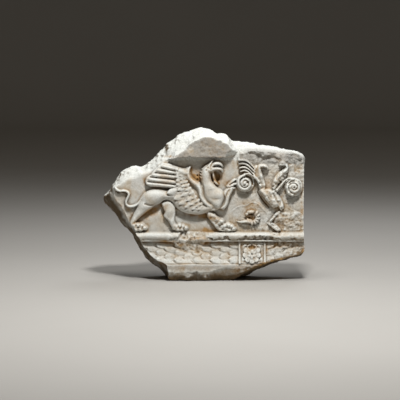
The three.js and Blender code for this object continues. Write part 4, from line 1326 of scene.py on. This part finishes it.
# where ochre soaks into the recesses: place, spread across and up, strength, turn
stains = [(-234, 304, 56, 19, 1.2, 26), (-190, 324, 26, 20, 1.2, 0), (0, 288, 60, 11, 1.0, -4),
          (-60, 296, 40, 9, 0.7, 0), (58, 462, 28, 24, 1.0, 0), (205, 330, 64, 36, 0.5, 0),
          (-185, 458, 62, 34, 0.35, -8), (-340, 312, 5, 46, 0.8, 27), (262, 380, 14, 40, 0.5, 0),
          (-290, 268, 30, 12, 0.7, 20), (20, 228, 48, 10, 0.9, 0), (-38, 464, 26, 28, 1.3, 0),
          (-58, 492, 10, 14, 0.9, 0), (-372, 330, 10, 60, 0.6, 30), (-330, 300, 9, 60, 0.5, 28),
          (-155, 174, 46, 10, 1.0, -3), (-110, 166, 30, 12, 0.7, -20), (8, 168, 26, 12, 0.8, 0),
          (90, 165, 60, 10, 0.8, 0), (176, 160, 16, 22, 0.8, 0), (214, 152, 20, 10, 1.0, 0),
          (280, 150, 12, 24, 0.9, 0), (330, 158, 60, 12, 0.8, 4), (420, 158, 30, 12, 0.7, 0),
          (52, 458, 14, 24, 0.9, 0), (64, 436, 10, 12, 0.9, 0), (-262, 455, 12, 26, 0.7, 0),
          (-150, 556, 60, 5, 0.5, 0), (60, 556, 70, 5, 0.5, 0), (150, 330, 50, 22, 0.3, 0),
          (-70, 196, 50, 12, 0.7, -12), (-20, 190, 40, 10, 0.6, 0), (250, 348, 40, 14, 0.6, 0),
          (210, 280, 26, 22, 0.6, 0), (100, 440, 30, 14, 0.5, 0), (285, 420, 14, 40, 0.5, -20),
          (330, 250, 60, 40, 0.35, 0), (-30, 60, 90, 10, 0.35, 0), (190, 60, 90, 14, 0.6, 12),
          (300, 84, 70, 10, 0.7, 14), (-200, 60, 30, 26, 0.5, 30), (-150, 8, 30, 10, 0.6, 0),
          (440, 330, 8, 90, 0.5, 0), (445, 160, 10, 40, 0.6, 0)]
# places given a painted highlight, where tops catch the light, written like the stains
litPlaces = [(40, 430, 34, 40, 0.5, 0), (-232, 402, 50, 15, 0.5, -8), (-20, 372, 60, 14, 0.2, 0),
          (-230, 208, 120, 8, 1.0, 0), (190, 210, 150, 7, 0.9, 0), (-100, 92, 150, 11, 0.8, 0),
          (100, 90, 90, 10, 0.8, 0), (-110, 262, 40, 16, 0.4, 0)]


def tinted():  # attributes that the finish reads
    mesh = fragment.data
    co = verticesOf(mesh)
    index = np.array([nearest.find(point)[1] for point in co])
    fine, broad = fineHollow[index], broadHollow[index]
    x, z, rise = placesOf(co)
    carved = smoothStep(7, 2, np.abs(rise - sampled(field, x, z)))
    fascia = (z > 553) & (x < 168) & (rise > 46)
    soffit = (z > 535) & (z < 560) & (x < 150) & (x > -150) & (rise > 2)
    topBreak = (z > 540) & (rise < 45) & (rise > -170)
    carved = np.where(fascia | soffit, 1, np.where(topBreak, 0, carved))
    scar = (x > 158) & (z > 524) & (np.abs(rise - sampled(field, x, z)) < 8)
    carved = np.where(scar, 0.55, carved)
    spot = blots(stains, x, z)
    front = smoothStep(-40, 0, rise)
    cloud = layered(x, rise, z, 46, 611, 4, 0.6)
    flecks = layered(x, rise, z, 20, 617, 4, 0.6)
    stained = np.clip(spot * (0.75 + 0.6 * cloud + 0.5 * flecks), 0, 1) * front
    stored(mesh, "hollow", np.clip(0.5 + fine * 0.9, 0, 1))
    stored(mesh, "deep", np.clip(broad / 4.0, 0, 1))
    # painted highlight: what stands proud, and the lit places listed above, lighten towards the pale break
    # colour
    pale = blots(litPlaces, x, z) * front * np.clip(0.85 + fine * 0.3, 0, 1) * smoothStep(4, 1, broad)
    stored(mesh, "proud", np.clip(np.maximum(-broad / 4.0, pale), 0, 1))
    stored(mesh, "broken", 1 - carved)
    stored(mesh, "ochre", np.clip(stained, 0, 1))
    stored(mesh, "back", smoothStep(-168, -173, rise))
    # painted shade in dark brown on the faces that lean down and to the left, and dark brown along the foot
    normals = normalsOf(mesh)
    facing = -0.75 * normals[:, 2] - 0.55 * normals[:, 0] * smoothStep(60, -80, x) - 0.15 * normals[:, 1]
    downLeft = smoothStep(-0.15, 0.3, facing)
    underside = smoothStep(0.0, 0.7, -normals[:, 2]) * smoothStep(120, 60, z)
    outer = np.maximum(smoothStep(250, 215, z), smoothStep(4, -42, rise + 16 * cloud))
    darkBrown = np.maximum(downLeft * outer, underside) * (1 - carved) * np.clip(0.95 + 0.3 * cloud, 0, 1.1)
    foot = smoothStep(44, 14, z + 9 * cloud) * smoothStep(43, 34, rise + 4 * flecks)
    ragged = np.interp(x, (130, 164, 200, 236, 275, 331, 387, 447),
                       (20, 36, 56, 74, 86, 101, 114, 136)) + 4 * flecks
    low = smoothStep(34, 6, z + 9 * flecks) * smoothStep(43, 36, rise)
    rising = smoothStep(4, -3, z - ragged) * smoothStep(120, 150, x)
    foot = np.maximum(np.maximum(foot * (0.9 + 0.2 * smoothStep(50, 110, x)), 1.25 * low), rising)
    stored(mesh, "buried", np.clip(np.maximum(darkBrown, foot), 0, 1))
    upper = 0.75 * smoothStep(150, 190, x) * smoothStep(520, 545, z)
    plinth = 0.55 * smoothStep(78, 74, z) * smoothStep(60, 66, z + 6 * flecks + 10)
    dust = np.where(fascia, 0.9, np.maximum(np.maximum(0.75 * scar, upper), plinth))
    stored(mesh, "dusty", dust * front)


tinted()

# looks

finish = {
    "clean": (0.53, 0.495, 0.43, 1), "cool": (0.56, 0.563, 0.54, 1), "warm": (0.43, 0.35, 0.24, 1),
    "freshBreakAndHighlight": (0.735, 0.765, 0.752, 1), "darkBrown": (0.125, 0.088, 0.048, 1), "ochre": (0.43, 0.245, 0.075, 1),
    "rustAndShade": (0.17, 0.08, 0.018, 1), "recessShade": (0.085, 0.062, 0.036, 1), "dust": (0.285, 0.275, 0.255, 1),
    "roughness": 0.78, "specular": 0.35, "fineBump": (0.55, 0.0012), "coarseBump": (0.8, 0.0032),
    # how often each pattern repeats in a metre
    "scale": {"cloud": 7.0, "drift": 16.0, "patch": 42.0, "lumps": 115.0, "pits": 150.0, "sugar": 210.0,
              "crystals": 520.0, "veins": 2.2},
}


def marble():
    stone.use_nodes = True
    stone.node_tree.nodes.clear()
    t = Tree("", stone.node_tree)
    place = t.wire("ShaderNodeTexCoord", out=3)

    def noise(pattern, detail=4.0, rough=0.55, warp=0.0):
        return t.wire("ShaderNodeTexNoise", Vector=place, Scale=finish["scale"][pattern], Detail=detail,
                      Roughness=rough, Distortion=warp)

    def attribute(name):
        return t.wire("ShaderNodeAttribute", {"attribute_name": name}, out=2)

    def mixed(amount, a, b):
        return t.wire("ShaderNodeMix", {"data_type": "RGBA"}, out=2, _0=amount, _6=a, _7=b)

    f = finish
    hollow, deep, proud, broken = (attribute(name) for name in ("hollow", "deep", "proud", "broken"))
    ochre, back, buried, dusty = (attribute(name) for name in ("ochre", "back", "buried", "dusty"))
    cloud, drift, patch = noise("cloud", 5.0), noise("drift", warp=0.6), noise("patch")
    crystals, sugar = noise("crystals", 2.0, 0.7), noise("sugar", 3.0)
    veins = t.wire("ShaderNodeTexWave", {"bands_direction": "DIAGONAL"}, out=1, Vector=place,
                   Scale=f["scale"]["veins"], Distortion=14.0, Detail=4.0, Detail_Scale=1.6)

    colour = mixed(cloud.between(0.35, 0.65), f["clean"], f["cool"])
    colour = mixed(drift.between(0.45, 0.7) * 0.6, colour, f["warm"])
    colour = mixed(veins.between(0.88, 1.0) * 0.22, colour, f["cool"])
    colour = mixed(broken * (0.75 + 0.25 * patch), colour, f["freshBreakAndHighlight"])
    # painted highlight: raised parts and the listed lit places are mixed towards the pale break colour
    colour = mixed((proud * 1.5).held() * 0.85, colour, f["freshBreakAndHighlight"])
    colour = mixed((dusty * (0.45 + 0.8 * patch)).held(), colour, f["dust"])
    # painted shade on the breaks that face down and to the left, and dark brown along the foot
    colour = mixed((buried * (0.95 + 0.9 * (drift - 0.35))).held(), colour, f["darkBrown"])
    # painted shade: creases and hollows are measured here and darkened below
    fineRecess = (hollow - 0.5) * 2
    inRecess = (fineRecess.held() * 0.5 + deep * 0.75).held() * (1 - broken * 0.72)
    soaked = (ochre * (0.5 + deep * 0.9 + patch.between(0.38, 0.62) * 0.7)).held()
    # a light warm ochre everywhere as patina, more in the recesses as painted warm shade
    faintPatinaAndShade = drift.between(0.38, 0.66) * (inRecess * 0.7 + 0.1) * (1 - broken * 0.85)
    colour = mixed((soaked + faintPatinaAndShade).held() * 0.92, colour, f["ochre"])
    # the ochre stains darkened in the recesses: real stain with painted shade over it
    colour = mixed((soaked * inRecess * 1.4).held() * 0.8, colour, f["rustAndShade"])
    # painted shade: recesses darkened, patchily
    colour = mixed((inRecess * (0.25 + 0.9 * patch)).held() * (1 - soaked * 0.5), colour, f["recessShade"])
    colour = mixed(back * 0.35, colour, f["warm"])
    speckle = (sugar * 0.5 + crystals * 0.5).between(0.35, 0.7)
    stops = [(0, (0.7, 0.68, 0.64, 1)), (1, (1.14, 1.14, 1.14, 1))]
    specks = t.wire("ShaderNodeValToRGB", {"stops": stops}, Fac=speckle)
    colour = t.wire("ShaderNodeMix", {"data_type": "RGBA", "blend_type": "MULTIPLY"}, out=2, _0=0.6,
                    _6=colour, _7=specks)

    pits = t.wire("ShaderNodeTexVoronoi", Vector=place, Scale=f["scale"]["pits"], Randomness=1.0)
    pitted = 1 - pits.between(0.0, 0.22)
    height = crystals * 0.25 + sugar * 0.4 + patch * 0.35 - pitted * 0.35 * patch.between(0.5, 0.62)
    lumps = noise("lumps", 3.0, 0.6) * (0.35 + patch.between(0.35, 0.65) * 0.5 + broken * 0.6)
    strength, distance = f["coarseBump"]
    coarse = t.wire("ShaderNodeBump", Strength=strength, Distance=distance, Height=lumps)
    strength, distance = f["fineBump"]
    bump = t.wire("ShaderNodeBump", Strength=strength, Distance=distance,
                  Height=height * (0.6 + broken * 0.7), Normal=coarse)
    roughness = f["roughness"] + 0.14 * (crystals - 0.5) - 0.05 * proud + 0.08 * broken
    shader = t.wire("ShaderNodeBsdfPrincipled", Base_Color=colour, Roughness=roughness.held(), Normal=bump)
    shader.socket.node.inputs["Specular IOR Level"].default_value = f["specular"]
    t.node("ShaderNodeOutputMaterial", Surface=shader)


marble()
fragment.data.materials.clear()
fragment.data.materials.append(stone)
for polygon in fragment.data.polygons:
    polygon.use_smooth = True
print("marble finished")

# floor, light and camera

studio = {"floor": (0.41, 0.40, 0.38, 1), "floorMottle": (0.44, 0.43, 0.41, 1), "wall": 16.0, "wallTop": 7.0,
          "bend": 3.0, "sky": (0.50, 0.43, 0.34, 1), "skyStrength": 0.14, "distance": 9.0, "focal": 180.0,
          "height": 5.0, "aim": (-0.017, 0.0, 0.356), "lightAim": (0, 0, 0.33)}
# turn and height in degrees, distance and size in metres, power in watts
lamps = {
    "keyLight": {"turn": 8, "height": 53, "distance": 3.6, "size": 0.5, "power": 134,
                 "colour": (1, 0.985, 0.96)},
    "topLight": {"turn": -12, "height": 78, "distance": 3.2, "size": 1.3, "power": 38,
                 "colour": (1, 0.99, 0.97)},
    "fillLight": {"turn": 30, "height": 20, "distance": 4.2, "size": 2.4, "power": 4,
                  "colour": (1, 0.93, 0.82)},
    "backLight": {"turn": 160, "height": 48, "distance": 4.0, "size": 2.0, "power": 40,
                  "colour": (0.97, 0.98, 1)},
}


def awayFrom(turn, height):  # a direction out from the stone, turn 0 in front of it
    a, e = math.radians(turn), math.radians(height)
    return Vector((math.sin(a) * math.cos(e), -math.cos(a) * math.cos(e), math.sin(e)))


def aimed(holder, aim, away, distance):
    holder.location = Vector(aim) + away * distance
    holder.rotation_euler = (-away).to_track_quat("-Z", "Y").to_euler()


def stageFloor():  # a pale floor that curves up into a wall, far off all round
    wall, r = studio["wall"], studio["bend"]
    profile = [(wall - r + r * math.sin(a), r - r * math.cos(a)) for a in np.linspace(0, math.pi / 2, 9)]
    profile = [(4, 0)] + profile + [(wall, studio["wallTop"])]
    mesh = bpy.data.meshes.new("studioFloor")
    made = bmesh.new()
    angles = np.linspace(0, 2 * math.pi, 97)[:-1]
    rings = []
    for out, up in profile:
        rings.append([made.verts.new((out * math.cos(a), out * math.sin(a), up)) for a in angles])
    made.faces.new(rings[0])
    for low, high in zip(rings[:-1], rings[1:]):
        for k in range(len(low)):
            n = (k + 1) % len(low)
            made.faces.new((low[k], high[k], high[n], low[n])).smooth = True
    bmesh.ops.recalc_face_normals(made, faces=made.faces)
    made.to_mesh(mesh)
    made.free()
    floor = placed("studioFloor", mesh)
    paint = bpy.data.materials.new("studioPaint")
    paint.use_nodes = True
    paint.node_tree.nodes.clear()
    t = Tree("", paint.node_tree)
    soft = t.wire("ShaderNodeTexNoise", Vector=t.wire("ShaderNodeTexCoord", out=3), Scale=1.3, Detail=3.0)
    tone = t.wire("ShaderNodeMix", {"data_type": "RGBA"}, out=2, _0=soft, _6=studio["floor"],
                  _7=studio["floorMottle"])
    painted = t.wire("ShaderNodeBsdfPrincipled", Base_Color=tone, Roughness=0.8)
    t.node("ShaderNodeOutputMaterial", Surface=painted)
    mesh.materials.append(paint)


def lightStudio():
    for name, lamp in lamps.items():
        light = bpy.data.lights.new(name, "AREA")
        light.size, light.energy, light.color = lamp["size"], lamp["power"], lamp["colour"]
        aimed(placed(name, light), studio["lightAim"], awayFrom(lamp["turn"], lamp["height"]),
              lamp["distance"])
    world = bpy.data.worlds.new("studioAir")
    bpy.context.scene.world = world
    world.use_nodes = True
    sky = world.node_tree.nodes["Background"]
    sky.inputs["Color"].default_value = studio["sky"]
    sky.inputs["Strength"].default_value = studio["skyStrength"]


def placeCamera():
    camera = placed("camera", bpy.data.cameras.new("camera"))
    bpy.context.scene.camera = camera
    aimed(camera, studio["aim"], awayFrom(0, studio["height"]), studio["distance"])
    camera.data.lens = studio["focal"]
    bpy.context.scene.view_settings.view_transform = "Standard"


stageFloor()
lightStudio()
placeCamera()
# the repeated shapes are cast already
for name in ("bandLeaf", "rosettePetal", "innerPetal", "covertFeather"):
    bpy.data.objects.remove(bpy.data.objects[name])

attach(fragment, "root")
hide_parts("griffin_frieze_fragment")
